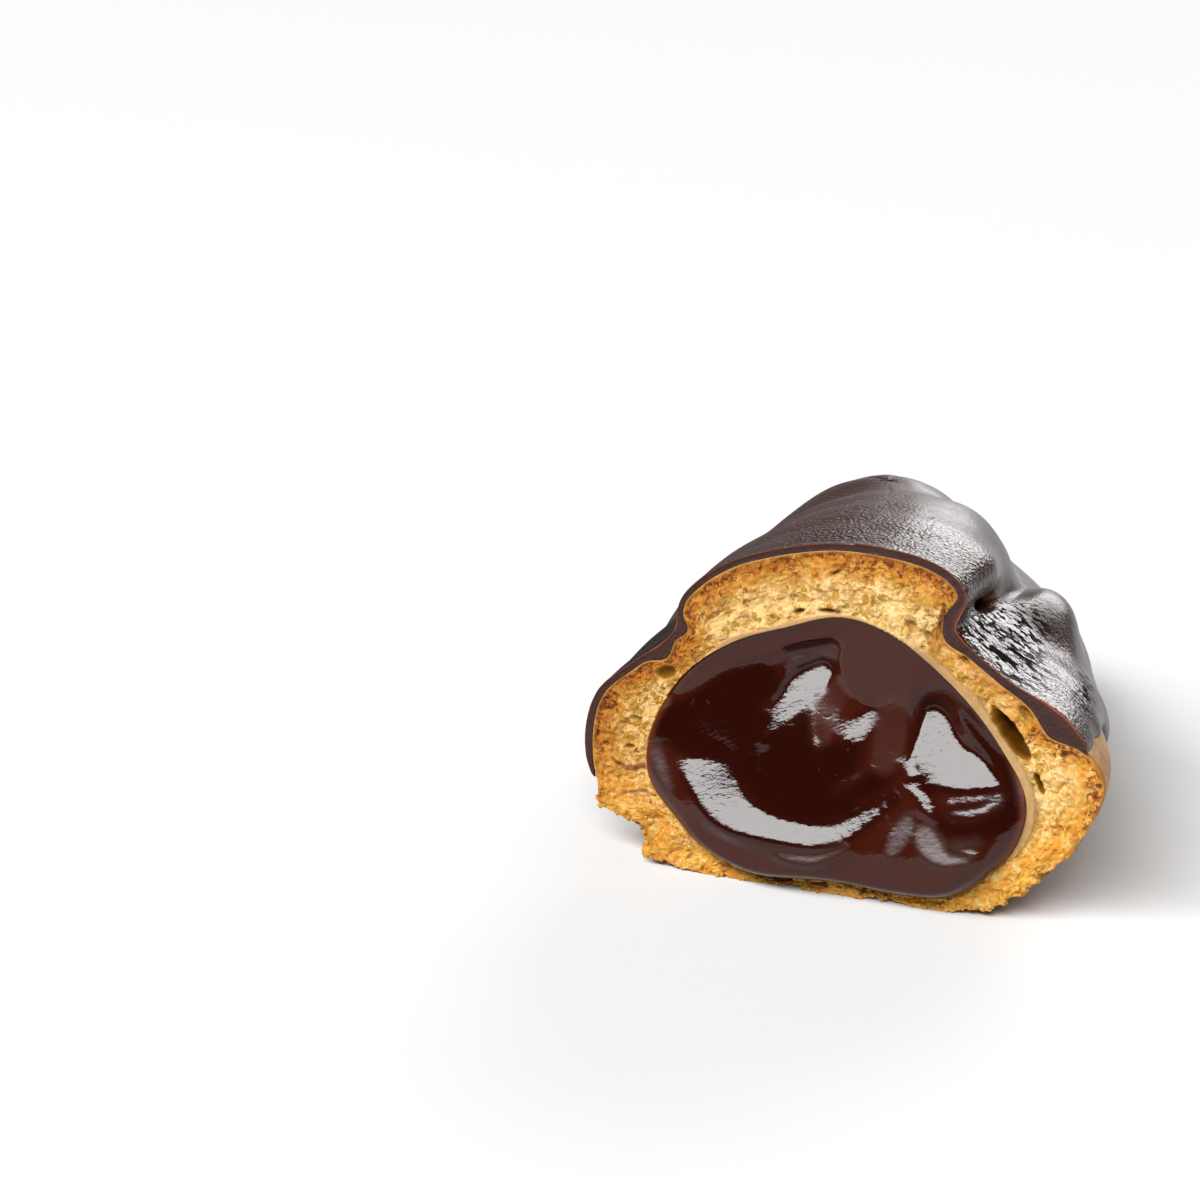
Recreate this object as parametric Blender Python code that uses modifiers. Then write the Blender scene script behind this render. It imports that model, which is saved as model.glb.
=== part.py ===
"""Half of a chocolate eclair, cut across: a choux shell, its chocolate filling and its chocolate glaze.

The half lies on its flat floor with the cut towards -Y and its round end towards +Y. The choux is a loft
along a spine: sections stand across it from the cut to the spine's end, then fan round the end of the bun.
"""

import math

import bmesh
import bpy
import numpy as np

MM = 0.001

# Driving sizes, in metres.
HALF_WIDTH = 28.0 * MM  # of the choux, at the cut
HEIGHT = 35.4 * MM  # of the choux, at its crown
SPINE_LENGTH = 36.0 * MM  # from the cut to the centre of the round end
SPINE_BEND = 6.5 * MM  # how far the spine has turned to -X by its end
CUT_LEAN = math.radians(8.0)  # the cut leans back from the vertical
CUT_CENTRE_HEIGHT = 17.0 * MM  # the cut turns about this height
GLAZE_THICKNESS = 1.1 * MM
LAYER_GAP = 0.3 * MM  # kept between the filling and the choux
GLAZE_LIFT = 0.55 * MM  # of the glaze's sheet off the choux, which leaves about the same gap between facets
CAVITY_DEPTH = 46.0 * MM
CAVITY_HEIGHT = 14.5 * MM  # its centre above the floor
CAVITY_SHIFT = -0.5 * MM  # its centre from the spine
FILLING_BULGE = 4.0 * MM  # how far the filling swells out of the cut
CENTRING = (2.33 * MM, -28.17 * MM)  # puts the origin under the middle of the half's box

# How finely the loft and the rounds are cut into faces.
SIDE_COLUMNS = 20
END_COLUMNS = 36
CHOUX_ROWS = 24
GLAZE_ROWS = 15
ROUND_SEGMENTS = 32
ROUND_RINGS = 18

# Half sections, as shares of HALF_WIDTH and HEIGHT from the spine: floor's middle, floor's edge, heel, lower side,
# widest, shoulder's side, shoulder, crease, dome's side, dome's brow and crown.
RIGHT_CUT = ((0, 0), (0.50, 0), (0.71, 0.08), (0.88, 0.23), (0.975, 0.43), (0.81, 0.58),
             (0.56, 0.69), (0.37, 0.81), (0.39, 0.925), (0.26, 0.99), (0, 1.01))
RIGHT_MIDDLE = ((0, 0), (0.48, 0), (0.65, 0.05), (0.76, 0.18), (0.78, 0.36), (0.70, 0.56),
                (0.62, 0.68), (0.49, 0.71), (0.40, 0.84), (0.25, 0.94), (0, 0.97))
RIGHT_BACK = ((0, 0), (0.48, 0), (0.64, 0.04), (0.76, 0.16), (0.76, 0.29), (0.67, 0.43),
              (0.55, 0.52), (0.44, 0.58), (0.34, 0.70), (0.21, 0.81), (0, 0.87))
ROUND_END = ((0, 0), (0.50, 0), (0.69, 0.04), (0.82, 0.16), (0.85, 0.29), (0.77, 0.43),
             (0.65, 0.54), (0.53, 0.62), (0.40, 0.72), (0.23, 0.82), (0, 0.87))
LEFT_BACK = ((0, 0), (0.50, 0), (0.69, 0.04), (0.82, 0.17), (0.85, 0.31), (0.78, 0.44),
             (0.66, 0.55), (0.54, 0.63), (0.40, 0.72), (0.22, 0.82), (0, 0.87))
LEFT_MIDDLE = ((0, 0), (0.51, 0), (0.72, 0.04), (0.86, 0.17), (0.90, 0.33), (0.85, 0.48),
               (0.73, 0.57), (0.60, 0.66), (0.48, 0.78), (0.28, 0.91), (0, 0.97))
LEFT_CUT = ((0, 0), (0.52, 0), (0.74, 0.04), (0.91, 0.16), (0.965, 0.34), (0.935, 0.49),
            (0.80, 0.595), (0.655, 0.70), (0.615, 0.82), (0.40, 0.94), (0, 1.01))
MIDDLE_AT = 0.58  # where along the spine the middle sections stand
CROWN = len(RIGHT_CUT) - 1  # the last point of a half section, counted up from the floor's middle

# Round the half from the right of the cut (0) by the end (1 to 2) to the left of the cut (3): where the glaze's
# lower edge stands, in points of the half section, and its drips as place, length and width.
GLAZE_EDGE_AT = (0.0, 0.5, 1.0, 1.5, 2.0, 2.5, 3.0)
GLAZE_EDGE = (4.60, 4.25, 3.70, 3.35, 3.40, 3.60, 3.45)
DRIPS = ((0.42, 0.8, 0.10), (0.84, 0.7, 0.08), (1.17, 1.1, 0.05), (1.46, 0.7, 0.06),
         (1.73, 1.0, 0.05), (2.12, 0.7, 0.07), (2.48, 1.1, 0.08), (2.80, 0.5, 0.07))

# The cavity's radius across the spine, as shares of HALF_WIDTH, by angle in degrees up from +X.
CAVITY_RADIUS = ((-170, 0.74), (-150, 0.67), (-127, 0.54), (-100, 0.43), (-78, 0.43), (-58, 0.51),
                 (-40, 0.65), (-21, 0.73), (-6, 0.73), (11, 0.63), (39, 0.53), (62, 0.51),
                 (90, 0.52), (118, 0.51), (140, 0.57), (165, 0.67))


def spline(knots, values, at, level_ends=False):
    """A smooth curve through values at knots, read at each place in at. level_ends makes both its ends level."""
    knots = np.asarray(knots, float)
    values = np.asarray(values, float)
    spread = (len(knots),) + (1,) * (values.ndim - 1)
    slopes = np.gradient(values, knots, axis=0)
    if level_ends:
        slopes[0] = slopes[-1] = 0.0
    at = np.clip(np.asarray(at, float), knots[0], knots[-1])
    low = np.clip(np.searchsorted(knots, at, side="right") - 1, 0, len(knots) - 2)
    length = knots[low + 1] - knots[low]
    t = ((at - knots[low]) / length).reshape((len(at),) + spread[1:])
    length = length.reshape(t.shape)
    start = values[low] * (1 + 2 * t) * (1 - t) ** 2 + slopes[low] * length * t * (1 - t) ** 2
    end = values[low + 1] * t**2 * (3 - 2 * t) - slopes[low + 1] * length * t**2 * (1 - t)
    return start + end


def clear_scene():
    for obj in list(bpy.data.objects):
        bpy.data.objects.remove(obj)


def column_places():
    """Even places round the half: 0 to 1 along its right side, 1 to 2 round its end, 2 to 3 back along its left."""
    side = np.linspace(0, 1, SIDE_COLUMNS)
    end = np.linspace(1, 2, END_COLUMNS + 1)
    return np.concatenate([side, end[1:-1], side + 2])


def half_sections(place):
    """The points of the half section at each place, as distances from the spine and heights above the floor."""
    knots = (0.0, MIDDLE_AT, 1.0)
    right = spline(knots, (RIGHT_CUT, RIGHT_MIDDLE, RIGHT_BACK), place, level_ends=True)
    left = spline(knots, (LEFT_CUT, LEFT_MIDDLE, LEFT_BACK), 3 - place, level_ends=True)
    turn = np.clip(place - 1, 0, 1)[:, None, None] * math.pi
    back = np.where(place[:, None, None] < 1.5, right, left)
    share = np.sin(turn) ** 2
    return (back * (1 - share) + np.array(ROUND_END, float) * share) * (HALF_WIDTH, HEIGHT)


def spine_frames(place):
    """The spine's point below each place, the way out from it, and how near the cut it is, from 1 to 0."""
    along = np.where(place < 1.5, np.clip(place, 0, 1), np.clip(3 - place, 0, 1))
    point = np.stack([-SPINE_BEND * along**2, SPINE_LENGTH * along], axis=1)
    heading = np.arctan2(2 * SPINE_BEND * along, SPINE_LENGTH)
    angle = heading + np.clip(place - 1, 0, 1) * math.pi
    return point, np.stack([np.cos(angle), np.sin(angle)], axis=1), 1 - along


def choux_points(place, row):
    """Points on the choux: one row of the result for each place, at the half section's points that row names."""
    sections = half_sections(place)
    point, outwards, nearness = spine_frames(place)
    made = np.stack([spline(range(CROWN + 1), s, r) for s, r in zip(sections, row)])
    distance, height = np.maximum(made[..., 0], 0), np.maximum(made[..., 1], 0)
    x = point[:, None, 0] + distance * outwards[:, None, 0]
    y = point[:, None, 1] + distance * outwards[:, None, 1]
    y += nearness[:, None] * (height - CUT_CENTRE_HEIGHT) * math.tan(CUT_LEAN)
    return np.stack([x, y, height], axis=-1)


def lifted(points, distance):
    """A grid of points moved off its surface, with the crown's row moved straight up."""
    normal = np.cross(np.gradient(points, axis=0), np.gradient(points, axis=1))
    normal[:, -1] = (0, 0, 1)
    return points + distance * normal / np.linalg.norm(normal, axis=-1, keepdims=True)


def glaze_edge(place):
    edge = spline(GLAZE_EDGE_AT, GLAZE_EDGE, place)
    for at, length, width in DRIPS:
        edge -= length * np.exp(-(((place - at) / width) ** 2))
    return edge


def grid_mesh(name, points, closing=()):
    """A mesh from a grid of points, welded where its columns meet. closing names corner runs to fill with a face."""
    mesh = bpy.data.meshes.new(name)
    bm = bmesh.new()
    rows = [[bm.verts.new(p) for p in column] for column in points]
    for first, second in zip(rows, rows[1:]):
        for i in range(len(first) - 1):
            bm.faces.new((first[i], second[i], second[i + 1], first[i + 1]))
    for run in closing:
        bm.faces.new([rows[c][r] for c, r in run])
    bmesh.ops.remove_doubles(bm, verts=bm.verts, dist=0.01 * MM)
    bmesh.ops.dissolve_degenerate(bm, edges=bm.edges, dist=0.01 * MM)
    bmesh.ops.recalc_face_normals(bm, faces=bm.faces)
    bm.to_mesh(mesh)
    bm.free()
    return mesh


def cavity_radius(angle):
    """The cavity's radius at each angle, in metres, as one closed curve."""
    turns = ((-360, 0), (0, 0), (360, 0))
    table = sorted((a + turn, r) for turn, _ in turns for a, r in CAVITY_RADIUS)
    knots, radii = zip(*table)
    return spline(knots, radii, np.degrees(angle)) * HALF_WIDTH


def cavity_mesh(name, inset, front):
    """A round form along the spine, inset from the cavity's wall, that swells out of the cut by front."""
    mesh = bpy.data.meshes.new(name)
    bm = bmesh.new()
    bmesh.ops.create_uvsphere(bm, u_segments=ROUND_SEGMENTS, v_segments=ROUND_RINGS, radius=1.0)
    unit = np.array([v.co for v in bm.verts])
    angle = np.arctan2(unit[:, 1], unit[:, 0])
    spread = np.hypot(unit[:, 0], unit[:, 1])
    axial = unit[:, 2]
    radius = (cavity_radius(angle) - inset) * spread**0.7
    depth = np.where(axial > 0, (CAVITY_DEPTH - inset) * axial, front * axial)
    share = np.clip(depth / SPINE_LENGTH, 0, 1)
    x = CAVITY_SHIFT - SPINE_BEND * share**2 + radius * np.cos(angle)
    z = CAVITY_HEIGHT + radius * np.sin(angle)
    y = depth + (1 - share) * (z - CUT_CENTRE_HEIGHT) * math.tan(CUT_LEAN)
    for vert, place in zip(bm.verts, zip(x, y, z)):
        vert.co = place
    bm.normal_update()
    bmesh.ops.recalc_face_normals(bm, faces=bm.faces)
    bm.to_mesh(mesh)
    bm.free()
    return mesh


def make_material(name, colour, roughness):
    material = bpy.data.materials.new(name)
    material.use_nodes = True
    shader = material.node_tree.nodes["Principled BSDF"]
    shader.inputs["Base Color"].default_value = (*colour, 1.0)
    shader.inputs["Roughness"].default_value = roughness
    shader.inputs["Metallic"].default_value = 0.0
    return material


def add_object(name, mesh, collection, material=None):
    obj = bpy.data.objects.new(name, mesh)
    collection.objects.link(obj)
    obj.location = (*CENTRING, 0)
    if material:
        mesh.materials.append(material)
    mesh.shade_smooth()
    mesh.set_sharp_from_angle(angle=math.radians(40))
    return obj


def make_choux(parts, cutters):
    """The choux shell: the loft, closed across the cut, less the cavity that the filling lies in."""
    place = column_places()
    rows = np.tile(np.linspace(0, CROWN, CHOUX_ROWS), (len(place), 1))
    points = choux_points(place, rows)
    last = len(place) - 1
    up = [(0, r) for r in range(CHOUX_ROWS)]
    down = [(last, r) for r in range(CHOUX_ROWS - 2, 0, -1)]
    mesh = grid_mesh("choux", points, closing=(up + down,))
    choux = add_object("choux", mesh, parts, make_material("choux", (0.71, 0.42, 0.15), 0.75))
    cutter = add_object("cavity", cavity_mesh("cavity", 0.0, CAVITY_DEPTH), cutters)
    cutter.hide_render = True
    cutter.display_type = "WIRE"
    cut = choux.modifiers.new("cavity", "BOOLEAN")
    cut.operation = "DIFFERENCE"
    cut.object = cutter
    return choux


def make_filling(parts):
    """The chocolate filling, which fills the cavity and swells out of the cut."""
    mesh = cavity_mesh("filling", LAYER_GAP, FILLING_BULGE)
    return add_object("filling", mesh, parts, make_material("filling", (0.045, 0.012, 0.008), 0.15))


def make_glaze(parts):
    """The chocolate glaze: a sheet just off the choux, from its dripping edge up to the crown, given its wall."""
    place = column_places()
    rows = np.linspace(glaze_edge(place), CROWN, GLAZE_ROWS, axis=1)
    points = lifted(choux_points(place, rows), GLAZE_LIFT)
    glaze = add_object("glaze", grid_mesh("glaze", points), parts,
                       make_material("glaze", (0.030, 0.014, 0.011), 0.40))
    wall = glaze.modifiers.new("wall", "SOLIDIFY")
    wall.thickness = GLAZE_THICKNESS
    wall.offset = 1.0
    return glaze


def main():
    clear_scene()
    parts = bpy.data.collections.new("chocolate_eclair_half")
    cutters = bpy.data.collections.new("cutters")
    for collection in (parts, cutters):
        bpy.context.scene.collection.children.link(collection)
    make_choux(parts, cutters)
    make_filling(parts)
    make_glaze(parts)


main()
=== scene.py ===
import math

import bmesh
import bpy
import numpy as np
from bpy.props import FloatProperty, FloatVectorProperty, IntProperty, PointerProperty
from mathutils import Euler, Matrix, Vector


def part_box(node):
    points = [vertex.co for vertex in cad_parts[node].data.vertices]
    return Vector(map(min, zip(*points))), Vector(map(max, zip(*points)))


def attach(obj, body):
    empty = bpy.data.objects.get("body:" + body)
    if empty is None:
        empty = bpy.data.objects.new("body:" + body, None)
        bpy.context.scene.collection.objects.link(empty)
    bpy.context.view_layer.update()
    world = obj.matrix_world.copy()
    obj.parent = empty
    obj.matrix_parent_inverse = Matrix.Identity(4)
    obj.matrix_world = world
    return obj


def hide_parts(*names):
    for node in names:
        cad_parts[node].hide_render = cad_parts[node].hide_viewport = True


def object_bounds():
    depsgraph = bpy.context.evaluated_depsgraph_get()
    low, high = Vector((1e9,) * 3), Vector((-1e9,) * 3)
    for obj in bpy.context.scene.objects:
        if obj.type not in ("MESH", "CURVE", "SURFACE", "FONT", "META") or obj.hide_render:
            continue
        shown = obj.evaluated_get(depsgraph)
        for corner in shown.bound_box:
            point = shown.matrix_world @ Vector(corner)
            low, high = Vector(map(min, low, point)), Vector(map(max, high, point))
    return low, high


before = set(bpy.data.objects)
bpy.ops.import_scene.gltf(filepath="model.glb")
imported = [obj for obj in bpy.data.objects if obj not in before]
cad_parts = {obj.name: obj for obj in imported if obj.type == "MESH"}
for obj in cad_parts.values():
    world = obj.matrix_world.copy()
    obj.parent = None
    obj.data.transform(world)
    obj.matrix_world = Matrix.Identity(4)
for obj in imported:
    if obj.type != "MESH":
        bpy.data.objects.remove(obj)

bl_info = {
    "name": "Chocolate Eclair Half",
    "version": (1, 0, 0),
    "blender": (4, 5, 0),
    "location": "3D View > Sidebar > Eclair",
    "description": "Makes the cut half of a chocolate eclair: torn choux, glossy filling and set glaze",
    "category": "Add Mesh",
}

MM = 0.001
CAD_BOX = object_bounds()

# ---- Sizes of the body, as the solids have them, in metres. ----
HALF_WIDTH = 28.0 * MM
HEIGHT = 35.4 * MM
SPINE_LENGTH = 36.0 * MM
SPINE_BEND = 6.5 * MM
CUT_LEAN = math.radians(8)
CUT_CENTRE_HEIGHT = 17.0 * MM
CAVITY_HEIGHT = 14.5 * MM
CAVITY_SHIFT = -0.5 * MM

# Half sections, as shares of HALF_WIDTH and HEIGHT from the spine: floor's middle, floor's edge, heel, lower
# side, widest, shoulder's side, shoulder, crease, dome's side, dome's brow and crown.
RIGHT_CUT = ((0, 0), (0.5, 0), (0.71, 0.08), (0.88, 0.23), (0.975, 0.43), (0.81, 0.58),
             (0.56, 0.69), (0.37, 0.81), (0.39, 0.925), (0.26, 0.99), (0, 1.01))
RIGHT_MIDDLE = ((0, 0), (0.48, 0), (0.65, 0.05), (0.76, 0.18), (0.78, 0.36), (0.7, 0.56),
                (0.62, 0.68), (0.49, 0.71), (0.4, 0.84), (0.25, 0.94), (0, 0.97))
RIGHT_BACK = ((0, 0), (0.48, 0), (0.64, 0.04), (0.76, 0.16), (0.76, 0.29), (0.67, 0.43),
              (0.55, 0.52), (0.44, 0.58), (0.34, 0.7), (0.21, 0.81), (0, 0.87))
ROUND_END = ((0, 0), (0.5, 0), (0.69, 0.04), (0.82, 0.16), (0.85, 0.29), (0.77, 0.43),
             (0.65, 0.54), (0.53, 0.62), (0.4, 0.72), (0.23, 0.82), (0, 0.87))
LEFT_BACK = ((0, 0), (0.5, 0), (0.69, 0.04), (0.82, 0.17), (0.85, 0.31), (0.78, 0.44),
             (0.66, 0.55), (0.54, 0.63), (0.4, 0.72), (0.22, 0.82), (0, 0.87))
LEFT_MIDDLE = ((0, 0), (0.51, 0), (0.72, 0.04), (0.86, 0.17), (0.9, 0.33), (0.85, 0.48),
               (0.73, 0.57), (0.6, 0.66), (0.48, 0.78), (0.28, 0.91), (0, 0.97))
LEFT_CUT = ((0, 0), (0.52, 0), (0.74, 0.04), (0.91, 0.16), (0.965, 0.34), (0.935, 0.49),
            (0.8, 0.595), (0.655, 0.7), (0.615, 0.82), (0.4, 0.94), (0, 1.01))
MIDDLE_AT = 0.58
CROWN = len(RIGHT_CUT) - 1

# Places run round the half: 0 to 1 along its right side, 1 to 2 round its end, 2 to 3 back along its left.
GLAZE_EDGE_AT = (0, 0.5, 1, 1.5, 2, 2.5, 3)
GLAZE_EDGE = (4.6, 4.25, 3.7, 3.35, 3.4, 3.6, 3.45)
DRIPS = ((0.42, 0.8, 0.1), (0.84, 0.7, 0.08), (1.17, 1.1, 0.05), (1.46, 0.7, 0.06),
         (1.73, 1, 0.05), (2.12, 0.7, 0.07), (2.48, 1.1, 0.08), (2.8, 0.5, 0.07))

# The cavity's radius across the spine, as shares of HALF_WIDTH, by angle in degrees up from +X.
CAVITY_RADIUS = ((-170, 0.74), (-150, 0.67), (-127, 0.54), (-100, 0.43), (-78, 0.43), (-58, 0.51),
                 (-40, 0.65), (-21, 0.73), (-6, 0.73), (11, 0.63), (39, 0.53), (62, 0.51),
                 (90, 0.52), (118, 0.51), (140, 0.57), (165, 0.67))

# ---- The finer shape, in millimetres. ----
# The burrow in the crease: its place and point of the half section, and its spans.
BURROW = (0.27, 7.2)
BURROW_SPANS = (0.055, 0.24)

# Glaze that pooled in a crease or under the lip: place, point of the half section, spans of both, depth.
GLAZE_POOLS = (
    (0, 7.45, 0.07, 0.3, 0.7), (0, 6.9, 0.08, 0.25, 0.7), (0, 5.08, 0.07, 0.33, 1.6),
    (3, 7.2, 0.1, 0.2, 0.7), (3, 6.52, 0.1, 0.25, 1), (0.27, 7.2, 0.06, 0.26, 1.7),
)

# Swellings and dents of the glaze: place, point of the half section, spans of both, height.
GLAZE_LUMPS = (
    (0.24, 8.05, 0.1, 0.55, 0.9), (0.16, 7.35, 0.06, 0.35, -0.9), (0.4, 7.3, 0.1, 0.45, -0.8),
    (0.5, 5.85, 0.12, 0.75, 1.1), (0.3, 5.6, 0.07, 0.6, -0.5), (0.78, 5.2, 0.09, 0.8, 0.8),
    (0.27, 7.2, 0.05, 0.2, -2.8), (0.62, 8.6, 0.14, 0.8, 0.5), (0.9, 6.6, 0.1, 0.7, 0.6),
    (2.6, 6.1, 0.1, 0.8, 0.6), (2.35, 8.2, 0.12, 0.9, 0.5), (2.8, 8.6, 0.12, 0.8, -0.3),
    (1.3, 6.4, 0.12, 0.9, 0.6), (1.62, 5.2, 0.14, 0.9, 0.5), (1.9, 7.2, 0.12, 0.9, -0.5),
)

# Hollows in the torn choux, on the cut: across and up from the spine's foot, long and short radius, turn in
# degrees up from +X, depth. Each is painted with shade, darker the deeper it is.
CUT_HOLLOWS = (
    (17.3, 19.4, 3.4, 0.8, -49, 2.8), (20.7, 14.7, 1.2, 0.4, -62, 1.8), (-19.3, 20.8, 1.2, 0.8, 20, 1.2),
    (-5.6, 28.9, 0.8, 0.3, 20, 0.9), (-2.6, 29.4, 1.1, 0.3, 4, 0.9), (6.5, 29, 0.9, 0.6, -35, 0.8),
    (8.3, 28.2, 0.8, 0.5, -35, 0.8), (18.8, 21.5, 1.1, 0.5, -48, 0.8), (-22.4, 15.4, 0.8, 0.4, -10, 0.6),
    (-23, 12.4, 0.7, 0.3, 10, 0.6), (12.2, 26.2, 0.5, 0.3, -45, 0.7), (-1.9, 33.4, 0.7, 0.2, 35, 0.8),
    (-25.6, 12.3, 0.4, 0.25, 0, 0.5),
)

# Stains on the cut, as strokes: points (across, up, half width), and how dark each is.
CUT_STAINS = (
    (((-24.8, 10.8, 0.1), (-23.2, 10.1, 0.22), (-21.4, 10.5, 0.3)), 0.8),
    (((-23.4, 7.3, 0.06), (-21.4, 7.8, 0.12), (-19.9, 7.6, 0.08)), 0.7),
    (((-7.4, 0.9, 0.15), (-5.6, 0.7, 0.25), (-4.2, 0.9, 0.1)), 1),
    (((-2.6, 0.8, 0.1), (-0.8, 0.9, 0.25)), 1), (((3, 0.6, 0.15), (3.9, 2, 0.15)), 0.9),
    (((10.6, 2, 0.1), (12, 1.7, 0.25), (13.4, 2.3, 0.15)), 0.9),
    (((22.8, 17.9, 0.1), (23.6, 18.3, 0.15), (24.6, 18, 0.08)), 0.9),
    (((26.3, 17.2, 0.05), (27.2, 16.2, 0.1)), 0.8),
    (((9.7, 31.6, 0.15), (9.6, 29.6, 0.3), (9.9, 28.6, 0.15)), 0.9),
)

# Faces of the filling at the cut, as strokes: points (across, up, half width). With each goes its slope, how
# far it comes forward for each millimetre down, how firmly that slope is kept, and how dull it is. Dullness
# roughens a face and paints a milky reflection into its colour.
SKYWARD = 0.576
FILLING_FACES = (
    # The hollowed bowl, at the left, in the middle and under its small fold, and the hollow at the right.
    (((-18.5, 15.5, 1.3), (-15, 17, 2.4), (-12, 19.5, 2.4), (-9.5, 21, 1.8)), 0.2, 0.4, 0),
    (((-19.5, 14.5, 0.5), (-16.5, 15.8, 1.6), (-13.5, 16.2, 2), (-10.5, 15, 2.2), (-8, 14, 3.5),
      (-5.5, 12, 3.5), (-1.5, 9.8, 1.5), (1.5, 10, 0.5)), 0.17, 0.9, 0),
    (((-17.2, 13.4, 0.3), (-15.5, 13.6, 0.5), (-13.5, 13.6, 0.6), (-11.2, 12.2, 0.4)), 0.32, 1.5, 0),
    (((-1.6, 16.6, 0.2), (0, 14, 1.4), (1, 15.2, 0.7)), 0.2, 0.5, 0),
    (((-11.5, 19, 0.8), (-9.9, 17.2, 0.8), (-9.1, 15.4, 0.6)), 0.2, 0.8, 0),
    (((-4.2, 18.4, 0.3), (-4.2, 17, 0.6), (-4.4, 15.4, 0.8), (-3, 13.6, 0.8), (-1, 12.6, 0.6)), 0.2, 0.8, 0),
    (((5.4, 14.2, 0.4), (4.3, 13, 0.7), (2.7, 11.7, 0.6), (1.4, 10.9, 0.4)), 0.15, 0.7, 0),
    (((-15.5, 5, 0.6), (-8, 2.8, 0.7), (0, 2.2, 0.8), (9, 2.6, 1), (15.5, 5.6, 0.6)), 0.05, 0.3, 0),
    (((12.4, 19.8, 0.2), (15.5, 16.8, 0.4), (17.8, 14.5, 0.6), (18.2, 11.5, 1), (14.5, 9.3, 0.5),
      (10.5, 9.5, 0.3)), 0.25, 0.3, 0),
    # Upright parts: under the crown, two tongues below it, and along the upper left.
    (((1.5, 27.5, 1), (2.6, 24, 3.2), (4.4, 20.5, 1.6)), -0.1, 0.5, 0),
    (((4.6, 19.5, 1.3), (4.8, 16.5, 1.2), (4.6, 14.8, 0.8)), 0.03, 0.25, 0.5),
    (((-1.4, 21, 0.8), (-2.4, 18.6, 0.8), (-2, 16.8, 0.5)), 0.04, 0.25, 0.5),
    (((-18, 19, 0.3), (-14.5, 22.6, 0.9), (-10.5, 25, 1.2), (-7.5, 26.2, 0.8), (-3, 27.5, 0.7)),
     -0.14, 0.4, 0),
    # The bowl's lower lip, a crescent that is broad at the left.
    (((-15.8, 12, 0.4), (-14.9, 11.2, 1.3), (-13.2, 10.6, 2.1), (-11.6, 8.8, 2), (-9.6, 7.6, 1.5),
      (-7, 7, 1.15), (-4, 6.6, 1), (-1.5, 6.6, 1), (1, 7.4, 0.85), (3.4, 9.1, 0.65), (5.6, 10.9, 0.4),
      (7, 11.9, 0.15)), SKYWARD, 2, 0),
    # The broad fold at the right, its tail, the lip below it, and the wedge and its groove.
    (((8.6, 19.7, 0.4), (9.1, 18.8, 1), (9.5, 17.4, 1.5), (10, 15.8, 2.2), (11.6, 15.2, 1.8), (13.4, 15, 1.4),
      (15.8, 14.2, 0.5)), SKYWARD, 2, 0),
    (((8.9, 14.2, 0.5), (9, 13.3, 0.4), (7.6, 12.9, 0.1)), SKYWARD, 2, 0),
    (((9.6, 13.6, 0.4), (11.4, 13.5, 0.3), (13.2, 13.7, 0.5), (14.8, 13.9, 0.3)), SKYWARD, 2, 0),
    (((16.8, 13.1, 0.25), (15.9, 11.8, 0.3), (14.3, 11.1, 0.3), (12.4, 10.8, 0.2)), SKYWARD, 3, 0.2),
    (((7.6, 12.4, 0.1), (8.8, 12.1, 0.45), (9.8, 10.9, 0.4), (10.4, 10.2, 0.1)), 0.6, 5, 0),
    (((7.2, 12, 0.1), (8.2, 10.5, 0.15), (9.8, 9.7, 0.15)), 0, 2, 0),
    # The upper fold with its dull top, and the small fold beside it.
    (((-8.3, 15.4, 0.15), (-7.1, 17.2, 0.6), (-5.6, 19.3, 1.1), (-4.5, 21.1, 1.2), (-3.4, 22.4, 0.7)),
     SKYWARD, 6, 0),
    (((-6.4, 23.6, 0.3), (-4.2, 24.2, 0.5), (-2.2, 25, 0.4)), 0.42, 0.12, 1),
    (((1.2, 16.4, 0.3), (1.7, 17.8, 0.6), (2.6, 19.3, 0.3)), SKYWARD, 5, 0),
    # Dull smears low at the right and under the lip, and at both ends, with a painted milky reflection in
    # their colour.
    (((6.6, 6, 0.2), (7.3, 7.8, 0.3), (7.9, 9.6, 0.2)), 0.52, 4, 0.8),
    (((9.9, 8.8, 0.4), (10.6, 7.3, 0.9), (12.2, 6.3, 0.5), (14.4, 6.5, 0.2)), 0.52, 5, 0.9),
    (((13.2, 7.8, 0.05), (15.2, 8.3, 0.05)), 0.5, 1.5, 0.6),
    (((-4.8, 4.3, 0.2), (-2, 4.3, 0.35), (0, 4.9, 0.2), (1.6, 5.8, 0.05)), 0.5, 3, 0.8),
    (((-19.9, 12.6, 0.2), (-19.3, 10.6, 0.5), (-18, 9, 0.2)), 0.5, 3, 1),
    (((17.4, 17.6, 0.1), (19, 14.8, 0.3), (20, 11.8, 0.2)), 0.45, 1.5, 0.9),
)

# The filling between its faces: its slope, and how firmly that is kept.
LOOSE_SLOPE = -0.02
LOOSE_WEIGHT = 0.02
# The filling's edge: how deep it lies behind the cut, how far it stands out at the lower lip, in millimetres,
# how firmly it and the rest are held, and how much wider the lower lip is.
EDGE_DEPTH = 0.9
RIM_STAND = 2.4
RIM_HOLD, LOOSE_HOLD = 0.0008, 0.00001
DROOP = 0.14
# Faces steeper than this are painted with the filling's shade colour. The relief's grid, in millimetres, and
# its energy once settled.
SHADED_SLOPE = 0.1
RELIEF_STEP = 0.25
RELIEF_LEFT, RELIEF_LOW = -24, -3
SETTLED = 1e-12

# The cut's rim below the glaze: grains by span, seed and height, and notches by degrees, width and height.
RIM_GRAINS = ((0.016, 3, 0.55), (0.006, 4, 0.35), (0.0025, 5, 0.18))
RIM_NOTCHES = ((-153.5, 3.6, -2.3), (-161, 2.6, 0.9), (-146.5, 2.2, 0.7))

# Rings of the choux round its end, along its sides and in its mouth, and of the filling behind the cut.
FAN_RINGS, SIDE_RINGS, MOUTH_RINGS, BODY_RINGS = 14, 26, 9, 12
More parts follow.
